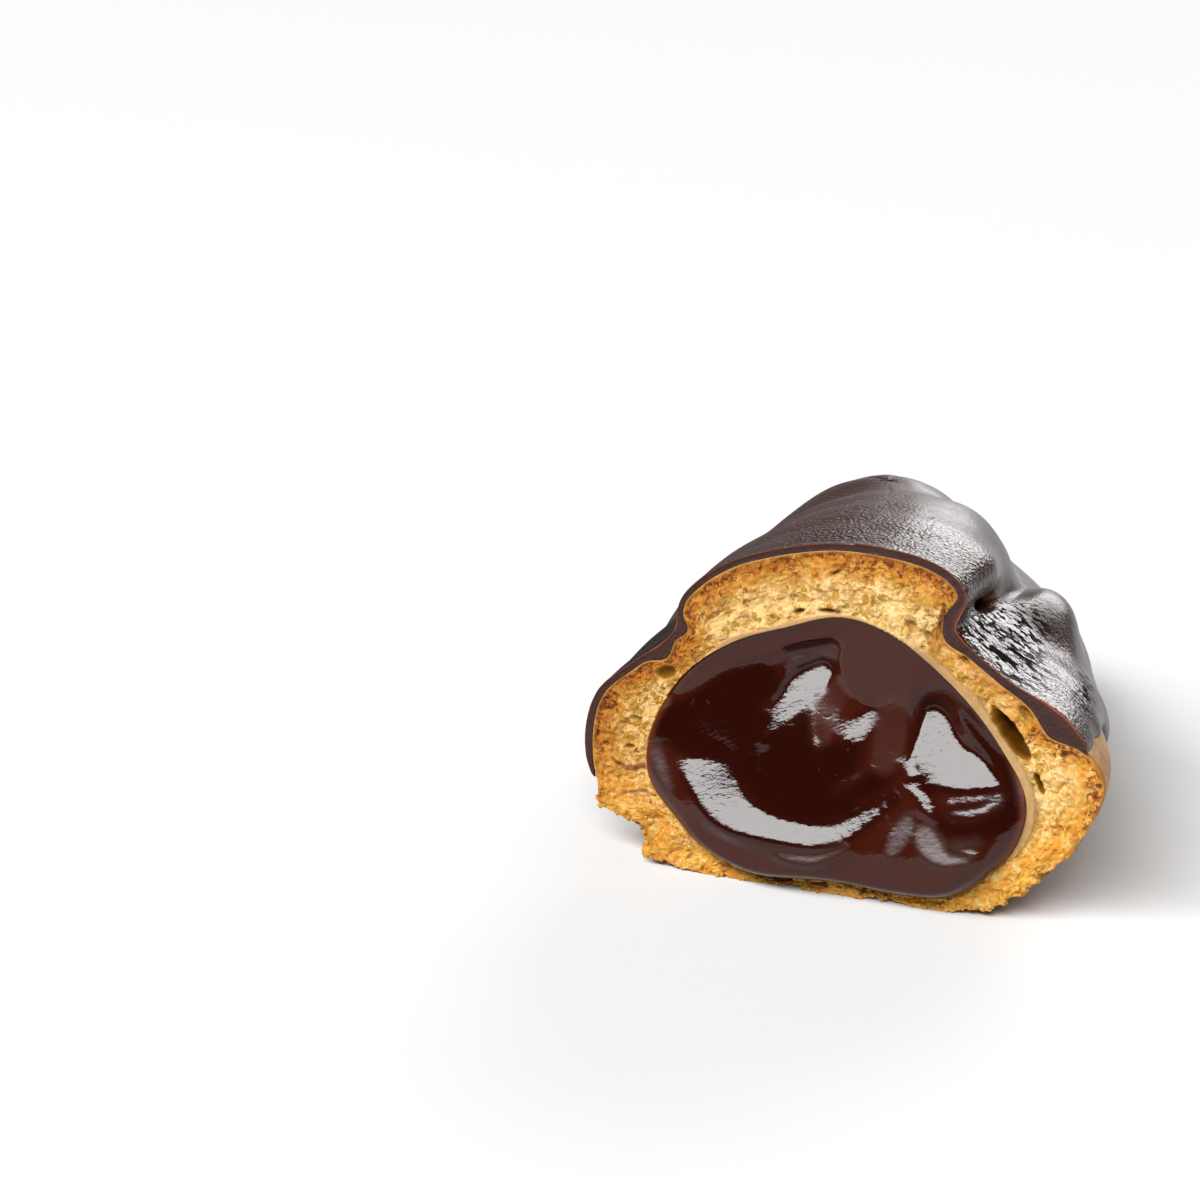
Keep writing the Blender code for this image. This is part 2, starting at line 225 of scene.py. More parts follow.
# How far the mouth stands inside the cavity's radius, how deep it goes, and how deep a hollow is whose
# painted shade is full.
MOUTH_GAP = 0.1 * MM
MOUTH_DEPTH = 9 * MM
DEEPEST_HOLLOW = 3

# Bands of the glaze's broken face: share of the way in, how far each stands out, how red and how broken.
BROKEN_BANDS = ((0.01, 0.03, 0, 0.3), (0.03, 0.08, 1, 1), (0.1, 0.08, 1, 1), (0.14, 0, 0.2, 1),
                (0.5, -0.06, 0, 1), (0.8, 0, 0, 1))

# The studio: name, azimuth, elevation, distance, spread and radiance of each softbox, and the sky's strength.
SOFTBOXES = (("strip_front", -20, 48, 3, (34, 9), 17), ("softbox_back", 174, 22, 3, (19, 12), 8))
SKY_STRENGTH = 0.05

# Welding distance, a Mix node's colour inputs, how far streaks are drawn out, and bubbles of crumb a metre.
WELD = 0.004 * MM
MIX_FIRST, MIX_SECOND = 6, 7
STREAK_LENGTH = 3.0
BUBBLES = 1050.0
GROUPS = {}

# ---- Curves and sections ----
def spline(knots, values, at, level_ends=False):
    """A smooth curve through values at knots, read at each place in at. level_ends levels both its ends."""
    knots = np.asarray(knots, float)
    values = np.asarray(values, float)
    slopes = np.gradient(values, knots, axis=0)
    if level_ends:
        slopes[0] = slopes[-1] = 0.0
    return read_spline(knots, values, slopes, at)


def read_spline(knots, values, slopes, at):
    """A curve through values, with a slope at each knot, read at each place in at."""
    at = np.clip(np.asarray(at, float), knots[0], knots[-1])
    low = np.clip(np.searchsorted(knots, at, side="right") - 1, 0, len(knots) - 2)
    length = knots[low + 1] - knots[low]
    shape = at.shape + (1,) * (values.ndim - 1)
    t = ((at - knots[low]) / length).reshape(shape)
    length = length.reshape(shape)
    start = values[low] * (1 + 2 * t) * (1 - t) ** 2 + slopes[low] * length * t * (1 - t) ** 2
    end = values[low + 1] * t**2 * (3 - 2 * t) - slopes[low + 1] * length * t**2 * (1 - t)
    return start + end


def read_section(section, row):
    """Points of one half section, level where it meets the spine at the floor and at the crown."""
    knots = np.arange(CROWN + 1.0)
    slopes = np.gradient(section, knots, axis=0)
    slopes[0, 1] = slopes[-1, 1] = 0.0
    return read_spline(knots, section, slopes, row)


def smooth_step(low, high, value):
    """A smooth rise from 0 to 1, as the value goes from low to high."""
    t = np.clip((value - low) / (high - low), 0, 1)
    return t * t * (3 - 2 * t)


def half_sections(place):
    """Points of the half section at each place, as distances from the spine and heights above the floor."""
    knots = (0.0, MIDDLE_AT, 1.0)
    right = spline(knots, (RIGHT_CUT, RIGHT_MIDDLE, RIGHT_BACK), place, level_ends=True)
    left = spline(knots, (LEFT_CUT, LEFT_MIDDLE, LEFT_BACK), 3 - place, level_ends=True)
    turn = np.clip(place - 1, 0, 1)[:, None, None] * math.pi
    back = np.where(place[:, None, None] < 1.5, right, left)
    share = np.sin(turn) ** 2
    return (back * (1 - share) + np.array(ROUND_END, float) * share) * (HALF_WIDTH, HEIGHT)


def spine_frames(place):
    """The spine's point below each place, the way out from it, and how near the cut it is, from 1 to 0."""
    along = np.where(place < 1.5, np.clip(place, 0, 1), np.clip(3 - place, 0, 1))
    point = np.stack([-SPINE_BEND * along**2, SPINE_LENGTH * along], axis=1)
    heading = np.arctan2(2 * SPINE_BEND * along, SPINE_LENGTH)
    angle = heading + np.clip(place - 1, 0, 1) * math.pi
    return point, np.stack([np.cos(angle), np.sin(angle)], axis=1), 1 - along


def body_points(place, row):
    """Points on the choux, before it is set in the frame: one row of the result for each place."""
    sections = half_sections(place)
    point, outwards, nearness = spine_frames(place)
    made = np.stack([read_section(s, r) for s, r in zip(sections, row)])
    distance = np.maximum(made[..., 0], 0)
    height = np.maximum(made[..., 1], 0)
    x = point[:, None, 0] + distance * outwards[:, None, 0]
    y = point[:, None, 1] + distance * outwards[:, None, 1]
    y += nearness[:, None] * (height - CUT_CENTRE_HEIGHT) * math.tan(CUT_LEAN)
    return np.stack([x, y, height], axis=-1)


def find_shift():
    """How far the body is moved to stand where the choux solid stands."""
    place = np.linspace(0, 3, 181)
    rows = np.tile(np.linspace(0, CROWN, 81), (len(place), 1))
    low = body_points(place, rows).reshape(-1, 3).min(axis=0)
    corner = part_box("choux")[0]
    return np.array([corner.x - low[0], corner.y - low[1], 0.0])


SHIFT = find_shift()
OUT_OF_CUT = np.array([0.0, -math.cos(CUT_LEAN), math.sin(CUT_LEAN)])


def on_cut(across, up, out=0.0):
    """Points on the cut, from metres across and up from the spine's foot, and metres out of it."""
    flat = np.stack([across, (up - CUT_CENTRE_HEIGHT) * math.tan(CUT_LEAN), up], axis=-1)
    return flat + SHIFT + np.asarray(out)[..., None] * OUT_OF_CUT


def cavity_place(angle, radius):
    """Across and up of places round the cavity's middle."""
    return CAVITY_SHIFT + radius * np.cos(angle), CAVITY_HEIGHT + radius * np.sin(angle)


def cavity_radius(angle):
    """The cavity's radius at each angle, in metres, as one closed curve."""
    table = sorted((a + turn, r) for turn in (-360, 0, 360) for a, r in CAVITY_RADIUS)
    knots, radii = zip(*table)
    return spline(knots, radii, np.degrees(angle)) * HALF_WIDTH


def wander(at, span, seed, closed=None):
    """A smooth random line between -1 and 1, a new value every span. closed is its length if it joins up."""
    count = max(3, int(round((closed or (np.max(at) + 2 * span)) / span)))
    values = np.random.RandomState(seed).uniform(-1, 1, count)
    step = (closed / count) if closed else span
    place = np.asarray(at) / step
    low = np.floor(place).astype(int)
    t = place - low
    t = t * t * (3 - 2 * t)
    return values[low % count] * (1 - t) + values[(low + 1) % count] * t


def bell(value, middle, width, power=2):
    """1 at the middle, and falling off over the width."""
    return np.exp(-(((value - middle) / width) ** power))


def bump_sum(lumps, first, second):
    """The sum of round bumps over a pair of coordinates."""
    return sum(height * bell(first, a, span_a) * bell(second, b, span_b)
               for a, b, span_a, span_b, height in lumps)


def turned_distance(across, up, centre, radii, turn):
    """Distance from a centre in an ellipse's own radii."""
    c, s = math.cos(math.radians(turn)), math.sin(math.radians(turn))
    dx, dy = across - centre[0], up - centre[1]
    return np.hypot((dx * c + dy * s) / radii[0], (dy * c - dx * s) / radii[1])


def surface_normals(points):
    """Unit normals of a grid of points, which point out where its first axis runs on and its second up."""
    normal = np.cross(np.gradient(points, axis=0), np.gradient(points, axis=1))
    normal[:, -1] = (0, 0, 1)
    return normal / np.maximum(np.linalg.norm(normal, axis=-1, keepdims=True), 1e-12)


# ---- Meshes ----
def grid_faces(columns, rows, closed=False, start=0):
    """Quads of a grid whose vertices are numbered along its rows first. closed joins each column's ends."""
    i, j = np.meshgrid(np.arange(columns - 1), np.arange(rows if closed else rows - 1), indexing="ij")
    j_next = (j + 1) % rows
    quads = np.stack([i * rows + j, (i + 1) * rows + j, (i + 1) * rows + j_next, i * rows + j_next], axis=-1)
    return (quads.reshape(-1, 4) + start).tolist()


def quads_between(low, high):
    return np.stack([low[:-1], low[1:], high[1:], high[:-1]], axis=1).tolist()


def build_mesh(name, points, faces, attributes, sharp=None):
    """A mesh, its doubles welded and its faces outwards, with each attribute's number at each point."""
    mesh = bpy.data.meshes.new(name)
    mesh.from_pydata(np.asarray(points).reshape(-1, 3).tolist(), [], faces)
    for label, values in attributes.items():
        layer = mesh.attributes.new(label, "FLOAT", "POINT")
        layer.data.foreach_set("value", np.asarray(values, np.float32).ravel())
    bm = bmesh.new()
    bm.from_mesh(mesh)
    bmesh.ops.remove_doubles(bm, verts=bm.verts, dist=WELD)
    bmesh.ops.dissolve_degenerate(bm, edges=bm.edges, dist=WELD)
    bm.normal_update()
    bmesh.ops.recalc_face_normals(bm, faces=bm.faces)
    bm.to_mesh(mesh)
    bm.free()
    mesh.shade_smooth()
    if sharp:
        mesh.set_sharp_from_angle(angle=math.radians(sharp))
    return mesh


def add_object(name, data):
    made = bpy.data.objects.new(name, data)
    bpy.context.scene.collection.objects.link(made)
    return made


def add_piece(name, mesh, material, replaced=()):
    """A finished piece of the half: an object at the origin that rides on its one body."""
    obj = add_object(name, mesh)
    mesh.materials.clear()
    mesh.materials.append(material)
    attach(obj, "root")
    if replaced:
        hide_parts(*replaced)


def through_nodes(name, mesh, tree, values):
    """The mesh that a Geometry Nodes tree makes of a mesh, with its named inputs set."""
    obj = add_object(name, mesh)
    modifier = obj.modifiers.new(name, "NODES")
    modifier.node_group = tree
    sockets = {s.name: s.identifier for s in tree.interface.items_tree if s.item_type == "SOCKET"}
    for label, value in values.items():
        modifier[sockets[label]] = value
    bpy.context.view_layer.update()
    graph = bpy.context.evaluated_depsgraph_get()
    made = bpy.data.meshes.new_from_object(obj.evaluated_get(graph))
    obj.modifiers.remove(modifier)
    bpy.data.objects.remove(obj)
    made.name = name
    return made


# ---- Node trees ----
class Field:
    """A number, vector or colour that a node puts out. Arithmetic on it adds math nodes to its tree."""

    def __init__(self, socket):
        self.socket = socket
        self.tree = socket.id_data

    def math(self, operation, *values, clamp=False):
        return put(self.tree, "ShaderNodeMath", dict(enumerate(values)), operation=operation, use_clamp=clamp)

    def __add__(self, other):
        return self.math("ADD", self, other)

    def __sub__(self, other):
        return self.math("SUBTRACT", self, other)

    def __rsub__(self, other):
        return self.math("SUBTRACT", other, self)

    def __mul__(self, other):
        return self.math("MULTIPLY", self, other)

    def __rtruediv__(self, other):
        return self.math("DIVIDE", other, self)

    def __lt__(self, other):
        return self.math("LESS_THAN", self, other)

    def or_more(self, other):
        return self.math("MAXIMUM", self, other)

    def clamped(self):
        return self.math("ADD", self, 0.0, clamp=True)

    def moved(self, other):
        return put(self.tree, "ShaderNodeVectorMath", {0: self, 1: other}, operation="ADD")

    def scaled(self, amount):
        return put(self.tree, "ShaderNodeVectorMath", {0: self, "Scale": amount}, operation="SCALE")

    def rise(self, low, high, to_low=0.0, to_high=1.0):
        """A smooth rise from to_low to to_high, as this goes from low to high."""
        return put(self.tree, "ShaderNodeMapRange", {
            "Value": self, "From Min": low, "From Max": high, "To Min": to_low, "To Max": to_high},
            interpolation_type="SMOOTHSTEP")

    def channels(self):
        """The red, green and blue of a colour."""
        kind = "Function" if self.tree.bl_idname == "GeometryNodeTree" else "Shader"
        red = put(self.tree, kind + "NodeSeparateColor", {"Color": self}, "Red")
        return [Field(red.socket.node.outputs[name]) for name in ("Red", "Green", "Blue")]


def join(value, socket):
    """Link a field to a socket, or set the socket's own value."""
    if isinstance(value, Field):
        value.tree.links.new(value.socket, socket)
    else:
        socket.default_value = (*value, 1.0)[:4] if socket.type == "RGBA" else value


def put(tree, kind, inputs=None, output=None, **settings):
    """What a new node puts out, at its first output in use or the one named. Its settings are made first."""
    node = tree.nodes.new(kind)
    for label, value in settings.items():
        setattr(node, label, value)
    for label, value in (inputs or {}).items():
        join(value, node.inputs[label])
    return Field(node.outputs[output] if output else next(s for s in node.outputs if s.enabled))


def new_group(name, kind, output, *inputs):
    """An empty node group: its inputs by name, and its end. Each input is its name, kind and default."""
    tree = bpy.data.node_groups.new(name, kind)
    for label, socket, default in inputs:
        item = tree.interface.new_socket(name=label, in_out="INPUT", socket_type="NodeSocket" + socket)
        if default is not None:
            item.default_value = default
    tree.interface.new_socket(name=output[0], in_out="OUTPUT", socket_type="NodeSocket" + output[1])
    start = tree.nodes.new("NodeGroupInput")
    return {s.name: Field(s) for s in start.outputs if s.name}, tree.nodes.new("NodeGroupOutput")


def finish_group(end, value):
    join(value, end.inputs[0])
    return end.id_data


def mix(share, first, second, blend="MIX"):
    """Two colours mixed by a share."""
    tree = next(v.tree for v in (share, first) if isinstance(v, Field))
    return put(tree, "ShaderNodeMix", {0: share, MIX_FIRST: first, MIX_SECOND: second},
               data_type="RGBA", blend_type=blend, clamp_factor=True)


def layered(colour, *layers):
    """A colour with others laid over it in turn, each by its share."""
    for share, other in layers:
        colour = mix(share, colour, other)
    return colour


def noise(place, scale, detail=2.0, roughness=0.5, distortion=0.0, output="Fac"):
    return put(place.tree, "ShaderNodeTexNoise", {
        "Vector": place, "Scale": scale, "Detail": detail, "Roughness": roughness,
        "Distortion": distortion}, output)


def swirl(place, scale, detail, roughness, reach):
    """A smooth random shift, of up to half of reach each way."""
    shift = noise(place, scale, detail, roughness, output="Color")
    return shift.moved((-0.5, -0.5, -0.5)).scaled(reach)


def cells(place, scale, feature="F1"):
    """A Voronoi pattern's distances and, where it has them, its cells' random colours."""
    first = put(place.tree, "ShaderNodeTexVoronoi", {"Vector": place, "Scale": scale, "Randomness": 1.0},
                feature=feature)
    return [Field(s) for s in first.socket.node.outputs if s.enabled][:2]


def stretched(place, degrees):
    """Places drawn out along one direction upright across the cut, at degrees below its right."""
    return put(place.tree, "ShaderNodeMapping", {
        "Vector": place, "Rotation": (0.0, math.radians(degrees), 0.0), "Scale": (STREAK_LENGTH, 1.0, 1.0)},
        vector_type="TEXTURE")


def shader_group(build):
    """Turns a function that builds a shader group into one that places it and builds it only once."""
    def placed(place, *values):
        if build not in GROUPS:
            GROUPS[build] = build()
        return put(place.tree, "ShaderNodeGroup", dict(enumerate((place, *values))), node_tree=GROUPS[build])
    return placed


@shader_group
def specks():
    """Shader group: small round specks of random size, scattered by chance through a material."""
    given, end = new_group(
        "scattered specks", "ShaderNodeTree", ("Mask", "Float"), ("Place", "Vector", None),
        ("Spacing", "Float", 0.001), ("Size", "Float", 0.3), ("Share", "Float", 0.5))
    place, spacing = given["Place"], given["Spacing"]
    scale = 1.0 / spacing
    distance, colour = cells(place.moved(swirl(place, scale * 2.5, 1.0, 0.5, spacing * 0.9)), scale)
    red, green, _ = colour.channels()
    spot = (given["Size"] * (green + 0.35) - distance).rise(-0.06, 0.08)
    return finish_group(end, spot * (red < given["Share"]))


@shader_group
def patches():
    """Shader group: soft patches between 0 and 1, broken up at their edges."""
    given, end = new_group(
        "soft patches", "ShaderNodeTree", ("Mask", "Float"), ("Place", "Vector", None),
        ("Size", "Float", 0.005), ("Level", "Float", 0.5), ("Softness", "Float", 0.1))
    level, softness = given["Level"], given["Softness"]
    cloud = noise(given["Place"], 1.0 / given["Size"], 4.0, 0.6, 0.4)
    return finish_group(end, cloud.rise(level - softness, level + softness))


@shader_group
def grain():
    """Shader group: the height of a fine grain of little domes over a slower unevenness."""
    given, end = new_group(
        "fine grain", "ShaderNodeTree", ("Height", "Float"), ("Place", "Vector", None),
        ("Size", "Float", 0.0004), ("Unevenness", "Float", 0.5))
    scale = 1.0 / given["Size"]
    slow = noise(given["Place"], scale * 0.35, 3.0, 0.6)
    domes = 1.0 - cells(given["Place"], scale, "SMOOTH_F1")[0]
    return finish_group(end, domes + slow * given["Unevenness"])


def named_value(tree, name):
    return put(tree, "GeometryNodeInputNamedAttribute", {"Name": name}, data_type="FLOAT")


def finish_geometry(end, geometry, material):
    """Ends a Geometry Nodes tree: its instances are made real and its material is set."""
    tree = end.id_data
    real = put(tree, "GeometryNodeRealizeInstances", {"Geometry": geometry})
    return finish_group(end, put(tree, "GeometryNodeSetMaterial", {"Geometry": real, "Material": material}))


def make_torn_crumb_tree():
    """Geometry Nodes: opens pores of three sizes in a torn face, and stores how deep each point lies."""
    given, end = new_group(
        "torn crumb", "GeometryNodeTree", ("Geometry", "Geometry"), ("Geometry", "Geometry", None),
        ("Large pore", "Float", 0.0018), ("Small pore", "Float", 0.0008), ("Pore depth", "Float", 0.0010),
        ("Roughness", "Float", 0.0003), ("Lumps", "Float", 0.001), ("Out of cut", "Vector", (0.0, -1.0, 0.0)),
        ("Material", "Material", None))
    tree = end.id_data
    large, small = given["Large pore"], given["Small pore"]
    place = put(tree, "GeometryNodeInputPosition")
    torn = named_value(tree, "torn")
    warped = place.moved(swirl(place, 1.2 / large, 3.0, 0.65, large * 2.0))
    depth = None
    for size, share, weight in ((large, 0.35, 0.65), (small, 0.60, 0.50), (small * 0.5, 0.8, 0.22)):
        distance, colour = cells(warped, 1.0 / size)
        pit = distance.rise(0.20, 0.62, 1.0, 0.0) * (colour.channels()[0] < share) * weight
        depth = depth + pit if depth else pit
    sunk = (noise(warped, 1.0 / large, 3.0, 0.6) - 0.5) * given["Lumps"] - depth * given["Pore depth"]
    grit = swirl(place, 2.0 / small, 3.0, 0.65, given["Roughness"] * 2.0)
    offset = given["Out of cut"].scaled(sunk).moved(grit).scaled(torn)
    moved = put(tree, "GeometryNodeSetPosition", {"Geometry": given["Geometry"], "Offset": offset})
    stored = put(tree, "GeometryNodeStoreNamedAttribute", {
        "Geometry": moved, "Name": "pore", "Value": (depth * torn).clamped()},
        data_type="FLOAT", domain="POINT")
    return finish_geometry(end, stored, given["Material"])


def make_scatter_tree():
    """Geometry Nodes: scatters small uneven grains over a surface, where an attribute says they lie."""
    given, end = new_group(
        "scattered grains", "GeometryNodeTree", ("Geometry", "Geometry"), ("Geometry", "Geometry", None),
        ("Density", "Float", 1.0e6), ("Where", "String", "crumbs"), ("Size", "Float", 0.0004),
        ("Length", "Float", 1.0), ("Seed", "Int", 1), ("Material", "Material", None))
    tree, seed = end.id_data, given["Seed"]
    density = named_value(tree, given["Where"]) * given["Density"]
    points = put(tree, "GeometryNodeDistributePointsOnFaces", {
        "Mesh": given["Geometry"], "Density": density, "Seed": seed})
    ball = put(tree, "GeometryNodeMeshIcoSphere", {"Radius": 1.0, "Subdivisions": 2})
    unevenness = swirl(put(tree, "GeometryNodeInputPosition"), 1.1, 1.0, 0.5, 1.3)
    lump = put(tree, "GeometryNodeSetPosition", {"Geometry": ball, "Offset": unevenness})
    amount = put(tree, "FunctionNodeRandomValue", {
        "Min": given["Size"] * 0.35, "Max": given["Size"], "Seed": seed}, data_type="FLOAT")
    stretch = put(tree, "ShaderNodeCombineXYZ", {
        "X": amount, "Y": amount * 0.75, "Z": amount * given["Length"]})
    turn = put(tree, "FunctionNodeRandomValue", {
        0: (0.0, 0.0, 0.0), 1: (6.28, 6.28, 6.28), "Seed": seed}, data_type="FLOAT_VECTOR")
    grains = put(tree, "GeometryNodeInstanceOnPoints", {
        "Points": points, "Instance": lump, "Rotation": turn, "Scale": stretch})
    real = put(tree, "GeometryNodeRealizeInstances", {"Geometry": grains})
    smooth = put(tree, "GeometryNodeSetShadeSmooth", {"Geometry": real})
    return finish_geometry(end, smooth, given["Material"])


# ---- Materials ----
def start_material(name, **fixed):
    """A material with its Principled BSDF's plain numbers set, that shader's inputs, and the place."""
    material = bpy.data.materials.new(name)
    material.use_nodes = True
    shader = material.node_tree.nodes["Principled BSDF"].inputs
    for label, value in fixed.items():
        shader[label.replace("_", " ")].default_value = value
    return material, shader, put(material.node_tree, "ShaderNodeTexCoord", output="Object")


def attributes(place, names):
    return [put(place.tree, "ShaderNodeAttribute", output="Fac", attribute_name=name)
            for name in names.split()]


def add_bump(shader, *layers):
    """Bump nodes in a row, each a height, its depth in metres and its strength."""
    normal = None
    for height, depth, strength in layers:
        inputs = {"Height": height, "Distance": depth, "Strength": strength}
        if normal:
            inputs["Normal"] = normal
        normal = put(height.tree, "ShaderNodeBump", inputs)
    join(normal, shader["Normal"])


def make_choux_material(sizes):
    """Baked choux: golden skin with brown blotches outside, pale open crumb on the cut."""
    material, shader, place = start_material(
        "baked_choux", Subsurface_Weight=0.35, Subsurface_Scale=0.0012, Subsurface_Radius=(1.0, 0.55, 0.2),
        Specular_IOR_Level=0.18)
    skin, pore, hollow, membrane, under_crust, low, glazed, stain = attributes(
        place, "skin pore hollow membrane from_crust low glazed stain")
    outside = mix(patches(place, 0.006, 0.52, 0.16), sizes.skin_colour, (0.27, 0.095, 0.015))
    outside = mix(specks(place, 0.0016, 0.30, 0.40) * 0.6, outside, (0.20, 0.06, 0.015))

    # The crumb's bubbles, each of one tone, and the threads between them.
    near_crust = under_crust + (noise(place, 1000.0, 4.0, 0.7) - 0.5) * 0.0055
    warped = place.moved(swirl(place, 650.0, 3.0, 0.65, 0.0022))
    tone = cells(warped, BUBBLES)[1].channels()[0]
    thread = cells(warped, BUBBLES, "DISTANCE_TO_EDGE")[0].rise(0.015, 0.13, 1.0, 0.0)

    # Creamy inside, golden and then toasted towards the crust, yolk-yellow low down.
    clear = tone.rise(0.74, 0.80).or_more(patches(place, 0.0028, 0.57, 0.05) * 0.7)
    cream = mix(tone.rise(0.30, 0.42), (0.66, 0.45, 0.18), sizes.crumb_colour)
    cream = mix(clear, cream, (0.38, 0.215, 0.030))
    golden = mix(patches(place, 0.0013, 0.50, 0.08), (0.40, 0.155, 0.012), (0.47, 0.235, 0.028))
    yolk = mix(patches(place, 0.0016, 0.50, 0.08), (0.62, 0.345, 0.060), (0.56, 0.250, 0.024))
    yolk = mix(patches(place, 0.0010, 0.58, 0.05) * 0.7, yolk, (0.72, 0.50, 0.19))
    upper = 1.0 - low * 0.85
    crust_share = near_crust.rise(0.0010, 0.0042, 1.0, 0.0) * glazed.rise(0.1, 0.8, 0.35, 1.0)
    toasting = near_crust.rise(-0.0004, 0.0016, 1.0, 0.0) * upper
    pale = thread * near_crust.rise(0.0018, 0.0040, 0.0, 0.60)
    rusty = thread * patches(place, 0.0020, under_crust * 45.0 + 0.44, 0.03) * glazed
    crumb = layered(cream, (crust_share, golden), (low, yolk), (toasting * 0.85, (0.34, 0.11, 0.012)),
                    (pale, (0.76, 0.58, 0.31)), (rusty * 0.85, (0.19, 0.040, 0.003)))
    # Painted shade in the pores: the crumb is darkened by how deep each pore is.
    crumb = mix(1.0, crumb, mix(pore, (1.0, 1.0, 1.0), (0.80, 0.64, 0.34)), "MULTIPLY")

    # Burnt spots, syrup soaked in under the glaze, and painted shade in the hollows and the cavity's mouth.
    dark_spots = specks(place, 0.00090, 0.30, (crust_share * 0.20 + 0.04) * upper)
    soaked = (noise(place, 1300.0, 3.0, 0.6, 0.5) - (under_crust * 110.0 + 0.465)).rise(0.0, 0.035) * glazed
    crumb = layered(crumb, (dark_spots * 0.8, (0.16, 0.030, 0.005)), (soaked * 0.9, (0.105, 0.018, 0.003)),
                    (membrane * 0.85, (0.36, 0.215, 0.095)), (hollow.rise(0.0, 0.45), (0.25, 0.108, 0.005)),
                    (hollow.rise(0.45, 1.0), (0.100, 0.033, 0.0006)), (stain, (0.12, 0.022, 0.006)))
    # Painted shade: the crumb is darkened towards the left of the cut, the side turned from the light.
    across = put(place.tree, "ShaderNodeSeparateXYZ", {"Vector": place}, "X")
    crumb = mix(across.rise(-0.026, 0.006, 0.6, 0.0), crumb, (0.74, 0.62, 0.42), "MULTIPLY")
    join(mix(skin, crumb, outside), shader["Base Color"])
    join(low * -0.22 + membrane * -0.25 + 0.60, shader["Roughness"])
    add_bump(shader, (noise(place, 1900.0, 4.0, 0.7), 0.0005, 0.24),
             (grain(place, 0.0009, 0.8), 0.0002, skin * 0.5))
    return material


def make_filling_material(sizes):
    """Dark chocolate cream: deep red-brown under a wet gloss that frays into fine streaks."""
    material, shader, place = start_material(
        "chocolate_cream", IOR=1.40, Subsurface_Weight=0.05, Subsurface_Scale=0.001,
        Subsurface_Radius=(1.0, 0.35, 0.2))
    # The dull mask roughens the cream and paints a milky reflection into its colour.
    thin, dull, shade = attributes(place, "thin dull shade")
    motes = specks(place, 0.0016, 0.10, 0.35)
    # Painted shade: the steeper faces take the shaded colour, and the others the lit colour.
    join(layered(mix(shade, sizes.lit_filling_colour, sizes.shaded_filling_colour), (dull * 0.5, (0.052, 0.019, 0.014)),
                 (thin, (0.10, 0.022, 0.006)), (motes * 0.4, (0.10, 0.025, 0.012))), shader["Base Color"])
    join(dull * 0.26 + 0.09, shader["Roughness"])
    slow, ripple = noise(place, 300.0, 2.0, 0.5), noise(place, 2400.0, 2.0, 0.6)
    streaks = noise(stretched(place, -30), 1500.0, 3.0, 0.6)
    add_bump(shader, (slow, 0.0004, 0.10), (streaks, 0.00012, 0.35), (ripple, 0.00005, 0.25),
             (specks(place, 0.0030, 0.07, 0.10) * -1.0, 0.0001, 0.5))
    return material


def make_glaze_material(sizes):
    """Set chocolate glaze: satin and finely grained, wet and pitted below the crease, matt at the cut."""
    material, shader, place = start_material("chocolate_glaze", Specular_IOR_Level=0.42)
    cut, rim, wet, near, dark, matt, netting, pitted = attributes(
        place, "cut rim wet near_cut dark matt netting pitted")
    dull = patches(place, 0.009, 0.5, 0.2)
    broken = mix(patches(place, 0.0012, 0.5, 0.2), (0.022, 0.0055, 0.0038), (0.032, 0.0090, 0.0062))
    # The left flank and the burrow in the crease are painted dark as shade.
    colour = layered(mix(dull, sizes.glaze_colour, (0.024, 0.0062, 0.0034)),
                     (specks(place, 0.0030, 0.07, 0.35) * 0.6, (0.25, 0.20, 0.17)),
                     (dark, (0.008, 0.0030, 0.0020)), (cut, broken), (rim * 0.85, (0.20, 0.050, 0.018)))

    # Pits under the crease: long and ragged by the cut, smaller further back. Their near-black colour is
    # painted shade in them.
    pits = None
    for share, degrees, scale, limit in ((netting, 58, 1050.0, 0.520), (pitted, 60, 1800.0, 0.525)):
        layer = noise(stretched(place, degrees), scale, 2.0, 0.6, 0.3).rise(limit, limit + 0.025) * share
        pits = pits.or_more(layer) if pits else layer
    join(mix(pits, colour, (0.004, 0.002, 0.0015)), shader["Base Color"])
    rough = dull * 0.08 + 0.34 + matt * 0.52 - near * 0.08 - wet * 0.12
    for share, least in ((cut, 0.85), (dark, 0.95), (pits, 0.95)):
        rough = rough.or_more(share * least)
    join(rough, shader["Roughness"])
    join(pits.or_more(dark * 0.75), shader["Metallic"])
    grainy = (near * 0.5 + matt * 0.60 - wet * 0.25).clamped()
    add_bump(shader, (noise(place, 180.0, 3.0, 0.5), 0.0012, 0.15),
             (grain(place, 0.00034, 0.8), 0.00022, grainy + 0.06),
             (noise(stretched(place, 46), 520.0, 2.0, 0.5), 0.0004, wet * 0.45), (pits * -1.0, 0.00022, 0.8))
    return material


def make_floor_material(sizes):
    """Plain pale studio floor, with a faint evenness broken by a soft cloud."""
    material, shader, place = start_material("studio_floor", Roughness=0.9, Specular_IOR_Level=0.1)
    darker = tuple(c * 0.995 for c in sizes.floor_colour)
    join(mix(noise(place, 3.0), sizes.floor_colour, darker), shader["Base Color"])
    return material


# ---- Choux ----
def even_rows(place, low, high, count):
    """Points of the half section, from low to high, that stand at even distances along it at one place."""
    fine = np.linspace(low, high, 2001)
    line = body_points(np.array([place]), fine[None])[0]
    length = np.concatenate([[0], np.cumsum(np.linalg.norm(np.diff(line, axis=0), axis=1))])
    return np.interp(np.linspace(0, length[-1], count), length, fine)


def pool_depth(place, row):
    return bump_sum(GLAZE_POOLS, place, row) * MM


def choux_rings(ring_places, rows):
    """Closed rings of the choux, each up its right half section and down its left."""
    side_rows = np.tile(rows, (len(ring_places), 1))
    rings = []
    for side_places, facing in ((ring_places, -1), (3 - ring_places, 1)):
        points = body_points(side_places, side_rows)
        normals = surface_normals(points)
        normals[:, :-1] *= facing
        rings.append(points - pool_depth(side_places[:, None], side_rows)[..., None] * normals)
    right, left = rings
    return np.concatenate([right, left[:, -2:0:-1]], axis=1) + SHIFT


